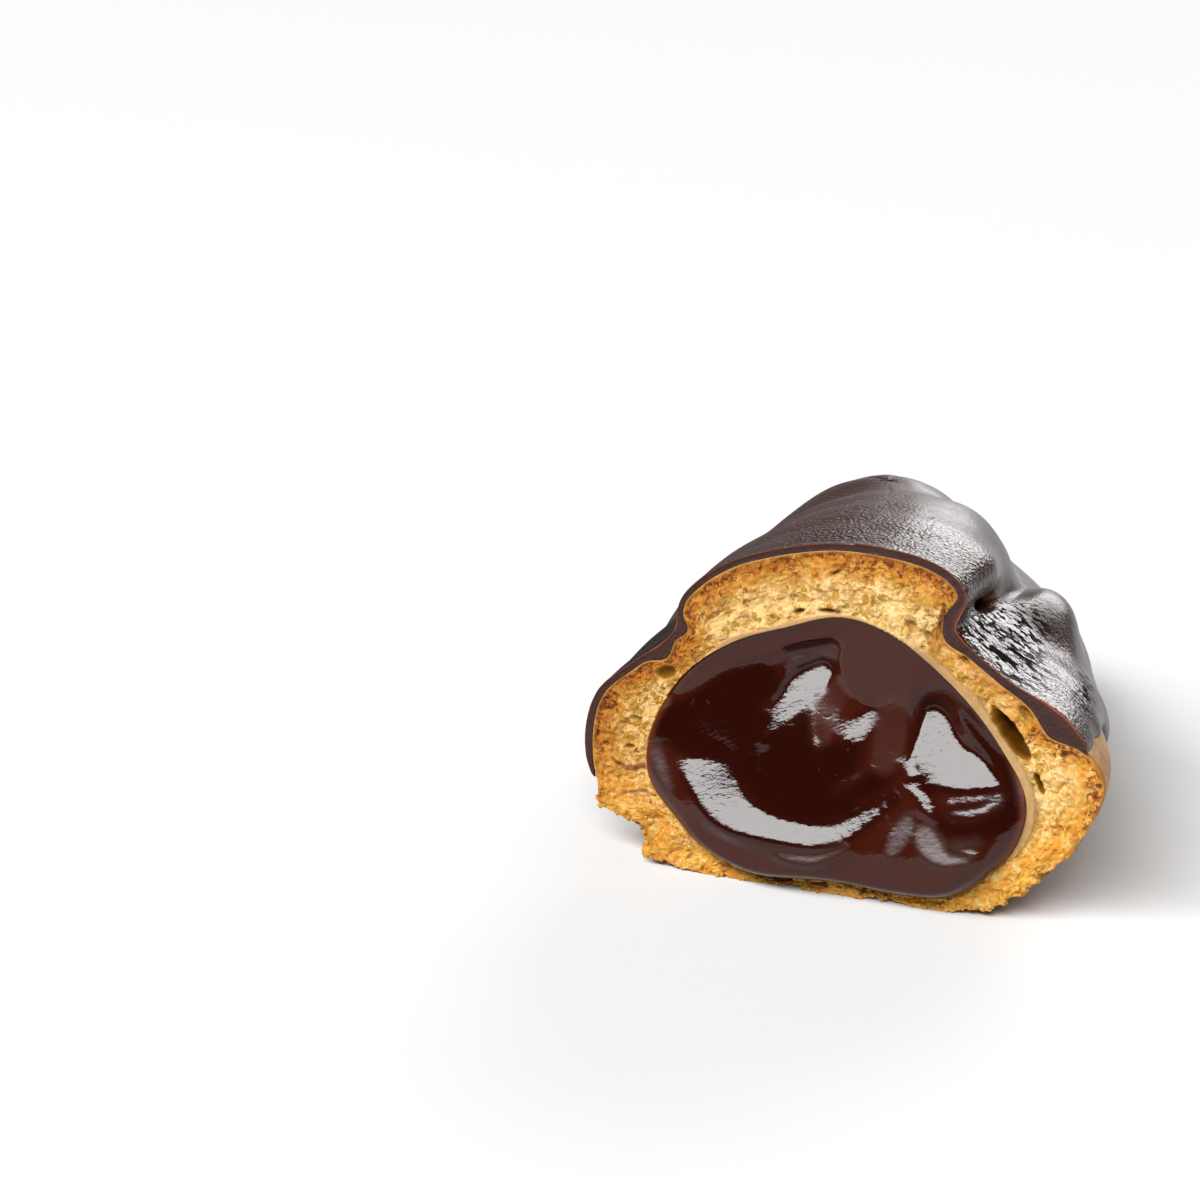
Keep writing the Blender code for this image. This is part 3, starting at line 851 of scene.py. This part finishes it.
def rim_raggedness(girth, degrees, low_share):
    """How far the cut's rim stands out, in millimetres. Chunks are missing at the lower left."""
    ragged = sum(height * wander(girth, span, seed, 1.0) for span, seed, height in RIM_GRAINS) - 0.25
    return ragged * low_share + sum(height * bell(degrees, at, width) for at, width, height in RIM_NOTCHES)


def make_choux_mesh(sizes):
    """The choux: its wall from the round end to the cut, the torn face of the cut, and the cavity's mouth."""
    fan = np.linspace(1.5, 1.0, FAN_RINGS)[:-1]
    side = 1.0 - np.linspace(0, 1, SIDE_RINGS) ** 0.55
    wall = choux_rings(np.concatenate([fan, side]), even_rows(0.0, 0, CROWN, sizes.choux_rows))
    count = wall.shape[1]
    across, up = (wall[-1] - SHIFT)[:, ::2].T
    angle = np.arctan2(up - CAVITY_HEIGHT, across - CAVITY_SHIFT)
    degrees = np.degrees(angle)
    girth = np.linspace(0, 1, count, endpoint=False)
    low_share = smooth_step(11 * MM, 5 * MM, up)
    outwards = np.stack([np.cos(angle), np.zeros(count), np.sin(angle)], axis=-1)
    from_cut = wall[:, :, 1] - wall[-1, :, 1]
    near_cut = bell(from_cut, 0, 2.2 * MM)
    wall = wall + (rim_raggedness(girth, degrees, low_share) * MM * near_cut)[..., None] * outwards
    wall[..., 2] = np.maximum(wall[..., 2], 0)
    across, up = (wall[-1] - SHIFT)[:, ::2].T

    # The torn face: rings from the rim in to the cavity's mouth.
    inner_across, inner_up = cavity_place(angle, cavity_radius(angle) - MOUTH_GAP)
    share = np.linspace(0, 1, sizes.face_rings + 1)[1:, None]
    face_across = across * (1 - share) + inner_across * share
    face_up = up * (1 - share) + inner_up * share
    x, z = face_across / MM, face_up / MM
    thickness = np.hypot(across - inner_across, up - inner_up)
    from_crust = share * thickness

    # A skin lines the mouth, broadest at the right.
    right_lip = smooth_step(-32, -12, degrees) * smooth_step(72, 55, degrees)
    left_lip = smooth_step(60, 85, degrees) * smooth_step(165, 140, degrees)
    lip_width = np.maximum(right_lip + 0.45 * left_lip + 0.2 * wander(girth, 0.02, 8, 1.0), 0.02) * MM
    membrane = smooth_step(1.05, 0.75, (1 - share) * thickness / lip_width)
    membrane = membrane * np.clip(right_lip + left_lip, 0, 1)
    slow = wander(girth, 0.05, 11, 1.0) * 0.5 + wander(girth + 0.3, 0.02, 12, 1.0) * 0.25
    out = (0.15 + 0.35 * right_lip) * MM * membrane + slow * MM * np.sin(share * math.pi) * 0.7

    # Each hollow is sunk into the face and painted with shade, darker the deeper it is.
    hollow, hollow_shade, stain = np.zeros((3, *x.shape))
    for centre_x, centre_z, long, short, turn, depth in CUT_HOLLOWS:
        distance = turned_distance(x, z, (centre_x, centre_z), (long, short), turn)
        distance = distance + 0.16 * wander(x + 40, 0.8, 51) + 0.13 * wander(z, 0.6, 52)
        edge = smooth_step(1.12, 0.75, distance)
        hollow = np.maximum(hollow, edge)
        hollow_shade = np.maximum(hollow_shade, edge * min(depth / DEEPEST_HOLLOW, 1))
        out = out - depth * MM * smooth_step(1.15, 0.25, distance)
    for stroke, darkness in CUT_STAINS:
        stain = np.maximum(stain, darkness * smooth_step(0.18, -0.05, stroke_distance(x, z, stroke)))
    face = on_cut(face_across, face_up, out)

    # The cavity's mouth: the wall goes back behind the lip and closes behind the filling.
    back = np.linspace(0, 1, MOUTH_RINGS)[1:, None]
    ones = np.ones_like(back)
    mouth = on_cut(inner_across * ones, inner_up * ones, 0.35 * MM - back * MOUTH_DEPTH)
    cap = on_cut(*np.array([[CAVITY_SHIFT], [CAVITY_HEIGHT], [-MOUTH_DEPTH]]))
    rings = len(wall) + len(face) + len(mouth)
    last = (rings - 1) * count
    faces = grid_faces(rings, count, closed=True)
    faces += [[last + i, last + (i + 1) % count, rings * count] for i in range(count)]

    def on_all(wall_value, face_value, mouth_value):
        """One attribute's numbers over the wall, the face, the mouth and the cap."""
        shapes = ((len(wall), count), x.shape, (len(mouth), count))
        parts = [np.broadcast_to(v, s).ravel() for v, s in zip((wall_value, face_value, mouth_value), shapes)]
        return np.concatenate(parts + [np.zeros(1)])

    torn = (1 - 0.9 * membrane) * smooth_step(0, 0.5 * MM, from_crust) * (1 - 0.6 * hollow)
    flank = smooth_step(14, 22, degrees) * smooth_step(62, 50, degrees)
    right_glow = smooth_step(-30, 5, degrees) * smooth_step(40, 22, degrees) * smooth_step(1.0, 0.2, share)
    lowness = np.clip(smooth_step(15 * MM, 7 * MM, face_up) + 0.45 * right_glow, 0, 1)
    crumbly = near_cut * low_share * smooth_step(0.3 * MM, 0.8 * MM, wall[:, :, 2])
    crumbly_face = smooth_step(1.6 * MM, 0.2 * MM, from_crust) * smooth_step(10 * MM, 4 * MM, face_up)
    points = np.concatenate([part.reshape(-1, 3) for part in (wall, face, mouth, cap)])
    return build_mesh("choux", points, faces, {
        "crumbly": on_all(crumbly, crumbly_face, 0),
        "skin": on_all(1 - 0.5 * near_cut * low_share, smooth_step(0.5 * MM, 0, from_crust) * 0.6, 0),
        "torn": on_all(bell(from_cut, 0, 0.5 * MM) * low_share * 0.8, torn, 0),
        # Painted shade: in the hollows by their depth, and full in the cavity's mouth.
        "hollow": on_all(0, hollow_shade, 1),
        "stain": on_all(0, stain, 0),
        "membrane": on_all(0, membrane, 1),
        "from_crust": on_all(0, from_crust, 0.01),
        "glazed": on_all(0, smooth_step(8 * MM, 12 * MM, face_up) * (1 - 0.85 * flank), 0),
        "low": on_all(1, lowness, 0)})


# ---- Glaze ----
def glaze_edge(place):
    edge = spline(GLAZE_EDGE_AT, GLAZE_EDGE, place)
    for at, length, width in DRIPS:
        edge = edge - length * bell(place, at, width)
    return edge + 0.05 * wander(place, 0.05, 21)


def glaze_columns(sizes):
    """Places round the half, crowded towards the cut at both ends."""
    side = np.linspace(0, 1, sizes.glaze_side) ** 1.35
    end = np.linspace(1, 2, sizes.glaze_end + 1)[1:-1]
    return np.concatenate([side, end, 3 - side[::-1]])


def glaze_thickness(sizes, place, rows, edge):
    """The glaze's thickness: a bead along its lower edge, its lumps, and thin on the left."""
    height = (rows - edge) * 2.6
    bead = 0.35 * bell(height, 1.4, 1.3) * (1 - 0.7 * smooth_step(2.7, 3.0, place))
    even = sizes.glaze_thickness / MM - 0.25 * smooth_step(2.5, 3.0, place)
    rounded = np.sqrt(np.clip(1 - (1 - np.clip(height / 1.3, 0, 1)) ** 2, 0, 1))
    slow = wander(np.arange(1.0, len(place) + 1), 9.0, 31)[:, None] * np.sin(rows * 1.1) * 0.12
    lumps = bump_sum(GLAZE_LUMPS, place, rows)
    return ((even + bead) * rounded + (lumps + slow) * smooth_step(0, 2.0, height)) * MM


def glaze_looks(place, rows):
    """How each part of the glaze looks, from 0 to 1, for its material."""
    left = smooth_step(1.4, 2.0, place)
    matt = 0.35 * np.maximum(left, smooth_step(9.4, 9.8, rows)) + 0.65 * left * smooth_step(9.7, 8.3, rows)
    burrow = np.hypot((place - BURROW[0]) / BURROW_SPANS[0], (rows - BURROW[1]) / BURROW_SPANS[1])
    burrow = burrow + 0.25 * wander(place, 0.02, 61) + 0.25 * wander(rows, 0.12, 62)
    pitted = bell(place, 0.26, 0.15, 4) * bell(rows, 6.45, 0.85, 4)
    # Painted shade over the left flank, and in the burrow in the crease.
    dark = smooth_step(2.2, 2.8, place) * smooth_step(9.2, 8.2, rows)
    return {
        "rim": bell(burrow, 1.15, 0.30) * smooth_step(6.9, 7.2, rows),
        "wet": bell(place, 0.12, 0.18, 4) * bell(rows, 6.3, 1.4, 4),
        "near_cut": bell(np.minimum(place, 3 - place), 0, 0.35) * np.ones(rows.shape),
        "matt": matt,
        "netting": bell(place, 0.10, 0.11, 4) * bell(rows, 6.30, 0.85, 4),
        "pitted": np.maximum(pitted, bell(place, 0.20, 0.14, 4) * bell(rows, 4.95, 0.22)),
        "dark": np.maximum(dark, smooth_step(1.15, 0.75, burrow))}


def make_glaze_mesh(sizes):
    """The glaze: a closed sheet with beaded drips, lumps over the shoulder, and a broken face at the cut."""
    place = glaze_columns(sizes)
    columns, count = len(place), sizes.glaze_rows
    edge = glaze_edge(place)
    rows = np.linspace(edge, CROWN, count, axis=1)
    base = body_points(place, rows)
    normals = surface_normals(base)
    place = place[:, None]
    sunk = pool_depth(place, rows)
    thickness = glaze_thickness(sizes, place, rows, edge[:, None])
    inner = base + normals * (0.02 * MM - sunk[..., None])
    outer = base + normals * np.maximum(thickness, 0.08 * MM - sunk * 0.9)[..., None]

    # Sheets from the outer face, over the lower edge, to the inner face.
    total = columns * count
    outer_ids = np.arange(total).reshape(columns, count)
    inner_ids = outer_ids + total
    faces = grid_faces(columns, count) + grid_faces(columns, count, start=total)
    faces += quads_between(outer_ids[:, 0], inner_ids[:, 0])
    points = [outer.reshape(-1, 3), inner.reshape(-1, 3)]
    cut, redness = [np.zeros(2 * total)], []

    # The broken face at the cut: bands from the outer edge, past a rim that stands proud, to the inner edge.
    start = 2 * total
    for end in (0, -1):
        bands = [outer_ids[end]]
        for share, stand, red, cutness in BROKEN_BANDS:
            band = outer[end] * (1 - share) + inner[end] * share
            uneven = 0.06 * wander(np.arange(count), 3.0, 41 + end)[:, None]
            points.append(band + OUT_OF_CUT * MM * (stand + uneven))
            bands.append(start + np.arange(count))
            start += count
            cut.append(np.full(count, cutness))
            redness.append(np.full(count, red))
        bands.append(inner_ids[end])
        for low, high in zip(bands, bands[1:]):
            faces += quads_between(low, high)
        faces.append([band[0] for band in bands])
    points = np.concatenate(points) + SHIFT
    looks = {"cut": np.concatenate(cut)}
    on_bands = {"rim": np.concatenate(redness), "near_cut": np.ones(start - 2 * total)}
    for label, values in glaze_looks(place, rows).items():
        rest = on_bands.get(label, np.zeros(start - 2 * total))
        looks[label] = np.concatenate([values.ravel(), values.ravel(), rest])
    return build_mesh("glaze", points, faces, looks, sharp=55)


# ---- Filling ----
def stroke_distance(x, z, stroke):
    """Distance from a stroke, which is a curve through points whose third number is its half width."""
    points = np.array(stroke, float)
    at = np.concatenate([[0], np.cumsum(np.hypot(*np.diff(points[:, :2], axis=0).T))])
    line = spline(at, points, np.linspace(0, at[-1], 24))
    away = np.hypot(x[..., None] - line[:, 0], z[..., None] - line[:, 1]) - line[:, 2]
    return away.min(axis=-1)


def relief_grid():
    """Places of the relief's grid: across and up, in millimetres, past the cavity on all sides."""
    return np.meshgrid(np.arange(RELIEF_LEFT, 25, RELIEF_STEP), np.arange(RELIEF_LOW, 33, RELIEF_STEP),
                       indexing="ij")


def relax_relief(rounds=1500):
    """The filling's face: heights out of the cut whose slopes come nearest to those that the faces ask for.

    Each pair of neighbours pulls towards its wanted difference, as firmly as the faces there say, and the rim
    is held near the cavity's mouth. Conjugate gradients settle it.
    """
    x, z = relief_grid()
    slope = np.full(x.shape, LOOSE_SLOPE)
    weight = np.full(x.shape, LOOSE_WEIGHT)
    for stroke, wanted, firmness, _ in FILLING_FACES:
        share = smooth_step(0.45, -0.15, stroke_distance(x, z, stroke))
        slope += (wanted - slope) * share
        weight += (firmness - weight) * share
    across, up = x - CAVITY_SHIFT / MM, z - CAVITY_HEIGHT / MM
    rim = smooth_step(0.90, 0.97, np.hypot(across, up) / (cavity_radius(np.arctan2(up, across)) / MM))
    hold = LOOSE_HOLD + RIM_HOLD * rim
    weight_x = (weight[1:] + weight[:-1]) / 2
    weight_z = (weight[:, 1:] + weight[:, :-1]) / 2
    wanted_z = weight_z * (slope[:, 1:] + slope[:, :-1]) / -2 * RELIEF_STEP

    def spread(total, on_x, on_z, facing):
        """Adds what each pair of neighbours pulls with to its second, and to its first times facing."""
        total[1:] += on_x
        total[:-1] += on_x * facing
        total[:, 1:] += on_z
        total[:, :-1] += on_z * facing
        return total

    def tension(height):
        return spread(hold * height, weight_x * np.diff(height, axis=0), weight_z * np.diff(height), -1)

    scale = spread(hold.copy(), weight_x, weight_z, 1)
    left = spread(hold * rim * RIM_STAND * smooth_step(16, 6, z), np.zeros(weight_x.shape), wanted_z, -1)
    height = np.zeros(x.shape)
    course = left / scale
    energy = (left * course).sum()
    for _ in range(rounds):
        strained = tension(course)
        step = energy / (course * strained).sum()
        height += step * course
        left -= step * strained
        settled = left / scale
        fresh = (left * settled).sum()
        course = settled + course * (fresh / energy)
        energy = fresh
        if energy < SETTLED:
            break
    return height


def read_relief(relief, across, up):
    """The relief at any place in metres, as a cubic B-spline over its grid."""
    def read(place, low, count):
        at = (place / MM - low) / RELIEF_STEP
        first = np.clip(np.floor(at).astype(int), 1, count - 3)
        t = at - first
        return first, ((1 - t) ** 3 / 6, (3 * t**3 - 6 * t**2 + 4) / 6, (1 + 3 * t + 3 * t**2 - 3 * t**3) / 6,
                       t**3 / 6)

    i, shares_x = read(across, RELIEF_LEFT, relief.shape[0])
    j, shares_z = read(up, RELIEF_LOW, relief.shape[1])
    return sum(share_x * share_z * relief[i + a - 1, j + b - 1]
               for a, share_x in enumerate(shares_x) for b, share_z in enumerate(shares_z))


def make_filling_mesh(sizes):
    """The filling: a folded, swollen face that droops over the cut's lower lip, and a plain body behind."""
    count = sizes.filling_girth
    angle = np.linspace(-math.pi, math.pi, count, endpoint=False)
    radius = cavity_radius(angle)
    reach = np.linspace(0, 1, sizes.filling_rings)[1:, None] ** 0.85
    near_rim = smooth_step(0.6, 0.93, reach) * smooth_step(1.0, 0.97, reach)
    droop = 1 + DROOP * smooth_step(-0.35, -0.95, np.sin(angle)) * near_rim
    across, up = cavity_place(angle, reach * droop * radius)
    relief = relax_relief()
    height = read_relief(relief, across, up)
    dull, shade = np.zeros((2, *across.shape))
    for stroke, slope, _, dullness in FILLING_FACES:
        away = stroke_distance(across / MM, up / MM, stroke)
        dull = np.maximum(dull, dullness * smooth_step(1.2, 0, away))
        # Painted shade: faces steeper than SHADED_SLOPE take the filling's shade colour.
        shade += (float(slope > SHADED_SLOPE) - shade) * smooth_step(1.5, -0.5, away)

    # The lower edge is rounded back, and the whole edge goes in behind the cavity's mouth.
    low = smooth_step(0.1, -0.75, np.sin(angle))
    rounding = np.sqrt(np.clip(1 - smooth_step(0.84, 1.0, reach) ** 2, 0, 1))
    height = (height + EDGE_DEPTH) * (1 - low * (1 - rounding)) - EDGE_DEPTH
    height = np.where(reach > 0.999, -EDGE_DEPTH, height)
    centre = np.array([[CAVITY_SHIFT], [CAVITY_HEIGHT]])
    middle = on_cut(*centre, read_relief(relief, *centre) * MM)
    face = on_cut(across, up, height * MM)
    depth = np.linspace(0, 1, BODY_RINGS)[1:, None]
    shrink = np.sqrt(np.clip(1 - depth**4, 0, 1)) * 0.99
    body = on_cut(*cavity_place(angle, shrink * radius), (-1.0 - depth * 7.0 * np.ones_like(angle)) * MM)
    points = np.concatenate([part.reshape(-1, 3) for part in (middle, face, body)])
    faces = [[0, 1 + i, 1 + (i + 1) % count] for i in range(count)]
    faces += grid_faces(len(face) + len(body), count, closed=True, start=1)
    thin = smooth_step(0.95, 1.0, reach) * np.ones_like(across)
    return build_mesh("filling", points, faces, {
        label: np.concatenate([[at_middle], values.ravel(), np.full(len(body) * count, behind)])
        for label, at_middle, values, behind in (("thin", 0.0, thin, 1.0), ("dull", 0.0, dull, 0.0),
                                                 ("shade", 1.0, shade, 0.0))})


# ---- Stage ----
def towards(azimuth, elevation):
    """The way out from the cut. azimuth is 0 in front of it and 90 to its right, in degrees."""
    a, e = math.radians(azimuth), math.radians(elevation)
    return Vector((math.sin(a) * math.cos(e), -math.cos(a) * math.cos(e), math.sin(e)))


def add_softbox(name, aim, azimuth, elevation, distance, spread, radiance):
    """A softbox that looks at aim. spread is how far it reaches to its sides and up, in degrees, and radiance
    is its brightness beside white paper's 1."""
    light = bpy.data.lights.new(name, "AREA")
    light.shape = "RECTANGLE"
    light.size, light.size_y = (2 * distance * math.tan(math.radians(a)) for a in spread)
    light.energy = radiance * math.pi * light.size * light.size_y
    softbox = add_object(name, light)
    back = towards(azimuth, elevation)
    softbox.location = aim + back * distance
    softbox.rotation_euler = (-back).to_track_quat("-Z", "Y").to_euler()


def make_floor(width):
    mesh = bpy.data.meshes.new("floor")
    half = width / 2
    corners = [(-half, -half, 0), (half, -half, 0), (half, half, 0), (-half, half, 0)]
    mesh.from_pydata(corners, [], [(0, 1, 2, 3)])
    return add_object("floor", mesh)


def add_camera(stage):
    """The camera, from its distance and angles about the foot of the cut's middle."""
    data = bpy.data.cameras.new("camera")
    data.lens = stage.lens
    data.sensor_width = 36.0
    data.clip_start = 0.01
    camera = add_object("camera", data)
    foot = on_cut(np.array([stage.aim_across]), np.array([0.0]))[0]
    camera.location = Vector(foot) + towards(stage.azimuth, stage.elevation) * stage.distance
    camera.rotation_euler = Euler((math.radians(90 - stage.tilt), 0, math.radians(stage.pan)))
    bpy.context.scene.camera = camera


# ---- Sizes and colours that a user would change ----
def colour_property(name, description, default):
    return FloatVectorProperty(name=name, description=description, default=default, subtype="COLOR",
                               size=3, min=0.0, max=1.0)


def length_property(name, description, default):
    return FloatProperty(name=name, description=description, default=default, unit="LENGTH")


class EclairChouxSizes(bpy.types.PropertyGroup):
    """The baked shell's fineness, pores and colours."""
    choux_rows: IntProperty(name="Rows", description="Points up each half section", default=420, min=40)
    face_rings: IntProperty(name="Face rings", description="Rings across the torn face", default=62, min=8)
    large_pore: length_property("Large pore", "Width of the large pores of the crumb", 1.9 * MM)
    small_pore: length_property("Small pore", "Width of the small pores of the crumb", 0.85 * MM)
    pore_depth: length_property("Pore depth", "Depth of the deepest pores", 0.27 * MM)
    grit: length_property("Grit", "Unevenness of the torn face", 0.20 * MM)
    lumps: length_property("Lumps", "Height of the lumps of the torn face", 1.6 * MM)
    crumb_density: FloatProperty(name="Crumbs", description="Loose crumbs on a square metre of rim",
                                 default=1.6e6)
    crumb_size: length_property("Crumb size", "Radius of the largest loose crumb", 0.38 * MM)
    skin_colour: colour_property("Skin", "Colour of the baked skin", (0.46, 0.22, 0.045))
    crumb_colour: colour_property("Crumb", "Colour of the pale crumb", (0.50, 0.30, 0.095))


class EclairGlazeSizes(bpy.types.PropertyGroup):
    """The glaze's thickness, fineness and colour."""
    glaze_thickness: length_property("Thickness", "Thickness of the glaze over the dome", 0.95 * MM)
    glaze_side: IntProperty(name="Side columns", description="Columns along each side", default=110, min=10)
    glaze_end: IntProperty(name="End columns", description="Columns round the end", default=88, min=10)
    glaze_rows: IntProperty(name="Rows", description="Rows from the edge to the crown", default=125, min=10)
    glaze_colour: colour_property("Glaze", "Colour of the set glaze", (0.036, 0.0095, 0.0052))


class EclairFillingSizes(bpy.types.PropertyGroup):
    """The filling's fineness and colour."""
    filling_girth: IntProperty(name="Girth", description="Points round the filling", default=520, min=24)
    filling_rings: IntProperty(name="Rings", description="Rings from middle to edge", default=92, min=8)
    # The first colour below is the filling's painted shade, on its steeper faces, and the second is its
    # colour where lit.
    shaded_filling_colour: colour_property("Cream", "Colour of the cream in its hollows", (0.015, 0.0014, 0.0004))
    lit_filling_colour: colour_property("Lit", "Colour of the cream where it was unshaded", (0.035, 0.0050, 0.0018))


class EclairStageSizes(bpy.types.PropertyGroup):
    """The camera's place and the studio's light."""
    lens: FloatProperty(name="Lens", description="Focal length in millimetres", default=120.0)
    distance: length_property("Distance", "From the foot of the cut to the camera", 0.412)
    azimuth: FloatProperty(name="Azimuth", description="Degrees the camera stands round to the right",
                           default=16.5)
    elevation: FloatProperty(name="Elevation", description="Degrees the camera stands above the floor",
                             default=25.0)
    aim_across: length_property("Aim", "Point of the cut's foot that the distance is from", 3.8 * MM)
    pan: FloatProperty(name="Pan", description="Degrees the camera is turned to the left", default=20.718)
    tilt: FloatProperty(name="Tilt", description="Degrees the camera looks down", default=20.770)
    floor_width: length_property("Floor", "Width of the floor", 6.0)
    floor_colour: colour_property("Floor", "Colour of the floor", (0.64, 0.64, 0.64))


# ---- Operators ----
class ECLAIR_OT_choux(bpy.types.Operator):
    """Make the choux shell with its torn face"""
    bl_idname = "eclair.choux"
    bl_label = "Choux"

    def execute(self, context):
        sizes = context.scene.eclair_choux
        smooth = make_choux_mesh(sizes)
        material = make_choux_material(sizes)
        mesh = through_nodes("choux", smooth, make_torn_crumb_tree(), {
            "Large pore": sizes.large_pore, "Small pore": sizes.small_pore, "Pore depth": sizes.pore_depth,
            "Roughness": sizes.grit, "Lumps": sizes.lumps, "Out of cut": tuple(OUT_OF_CUT),
            "Material": material})
        add_piece("torn_choux", mesh, material, ("choux",))
        crumbs = through_nodes("crumbs", smooth, make_scatter_tree(), {
            "Where": "crumbly", "Density": sizes.crumb_density, "Size": sizes.crumb_size, "Seed": 5,
            "Material": material})
        add_piece("loose_crumbs", crumbs, material)
        return {"FINISHED"}


class ECLAIR_OT_filling(bpy.types.Operator):
    """Make the chocolate cream that swells out of the cut"""
    bl_idname = "eclair.filling"
    bl_label = "Filling"

    def execute(self, context):
        sizes = context.scene.eclair_filling
        add_piece("chocolate_filling", make_filling_mesh(sizes), make_filling_material(sizes),
                  ("filling",))
        return {"FINISHED"}


class ECLAIR_OT_glaze(bpy.types.Operator):
    """Make the glaze with its drips and its broken edge"""
    bl_idname = "eclair.glaze"
    bl_label = "Glaze"

    def execute(self, context):
        sizes = context.scene.eclair_glaze
        add_piece("set_glaze", make_glaze_mesh(sizes), make_glaze_material(sizes), ("glaze",))
        return {"FINISHED"}


class ECLAIR_OT_stage(bpy.types.Operator):
    """Make the floor, the soft lights and the camera"""
    bl_idname = "eclair.stage"
    bl_label = "Stage"

    def execute(self, context):
        stage = context.scene.eclair_stage
        floor = make_floor(stage.floor_width)
        floor.data.materials.append(make_floor_material(stage))
        add_camera(stage)
        low, high = CAD_BOX
        for light in SOFTBOXES:
            add_softbox(light[0], (low + high) / 2, *light[1:])
        world = bpy.data.worlds.new("studio")
        world.use_nodes = True
        background = world.node_tree.nodes["Background"].inputs
        background["Color"].default_value = (1.0, 1.0, 1.0, 1.0)
        background["Strength"].default_value = SKY_STRENGTH
        context.scene.world = world
        context.scene.view_settings.view_transform = "Standard"
        return {"FINISHED"}


class ECLAIR_PT_panel(bpy.types.Panel):
    """Lists the pieces of the eclair half and their sizes"""
    bl_label = "Chocolate Eclair Half"
    bl_idname = "ECLAIR_PT_panel"
    bl_space_type = "VIEW_3D"
    bl_region_type = "UI"
    bl_category = "Eclair"

    def draw(self, context):
        for label, group in SECTIONS:
            box = self.layout.box()
            box.operator(f"eclair.{label}")
            settings = getattr(context.scene, f"eclair_{label}")
            for name in group.__annotations__:
                box.prop(settings, name)


SECTIONS = (("choux", EclairChouxSizes), ("filling", EclairFillingSizes), ("glaze", EclairGlazeSizes),
            ("stage", EclairStageSizes))
CLASSES = (EclairChouxSizes, EclairFillingSizes, EclairGlazeSizes, EclairStageSizes, ECLAIR_OT_choux,
           ECLAIR_OT_filling, ECLAIR_OT_glaze, ECLAIR_OT_stage, ECLAIR_PT_panel)


def register():
    for made in CLASSES:
        bpy.utils.register_class(made)
    for label, group in SECTIONS:
        setattr(bpy.types.Scene, f"eclair_{label}", PointerProperty(type=group))


def unregister():
    for label, _ in SECTIONS:
        delattr(bpy.types.Scene, f"eclair_{label}")
    for made in reversed(CLASSES):
        bpy.utils.unregister_class(made)


def main():
    register()
    bpy.ops.eclair.choux()
    bpy.ops.eclair.filling()
    bpy.ops.eclair.glaze()
    bpy.ops.eclair.stage()


if __name__ == "__main__":
    main()
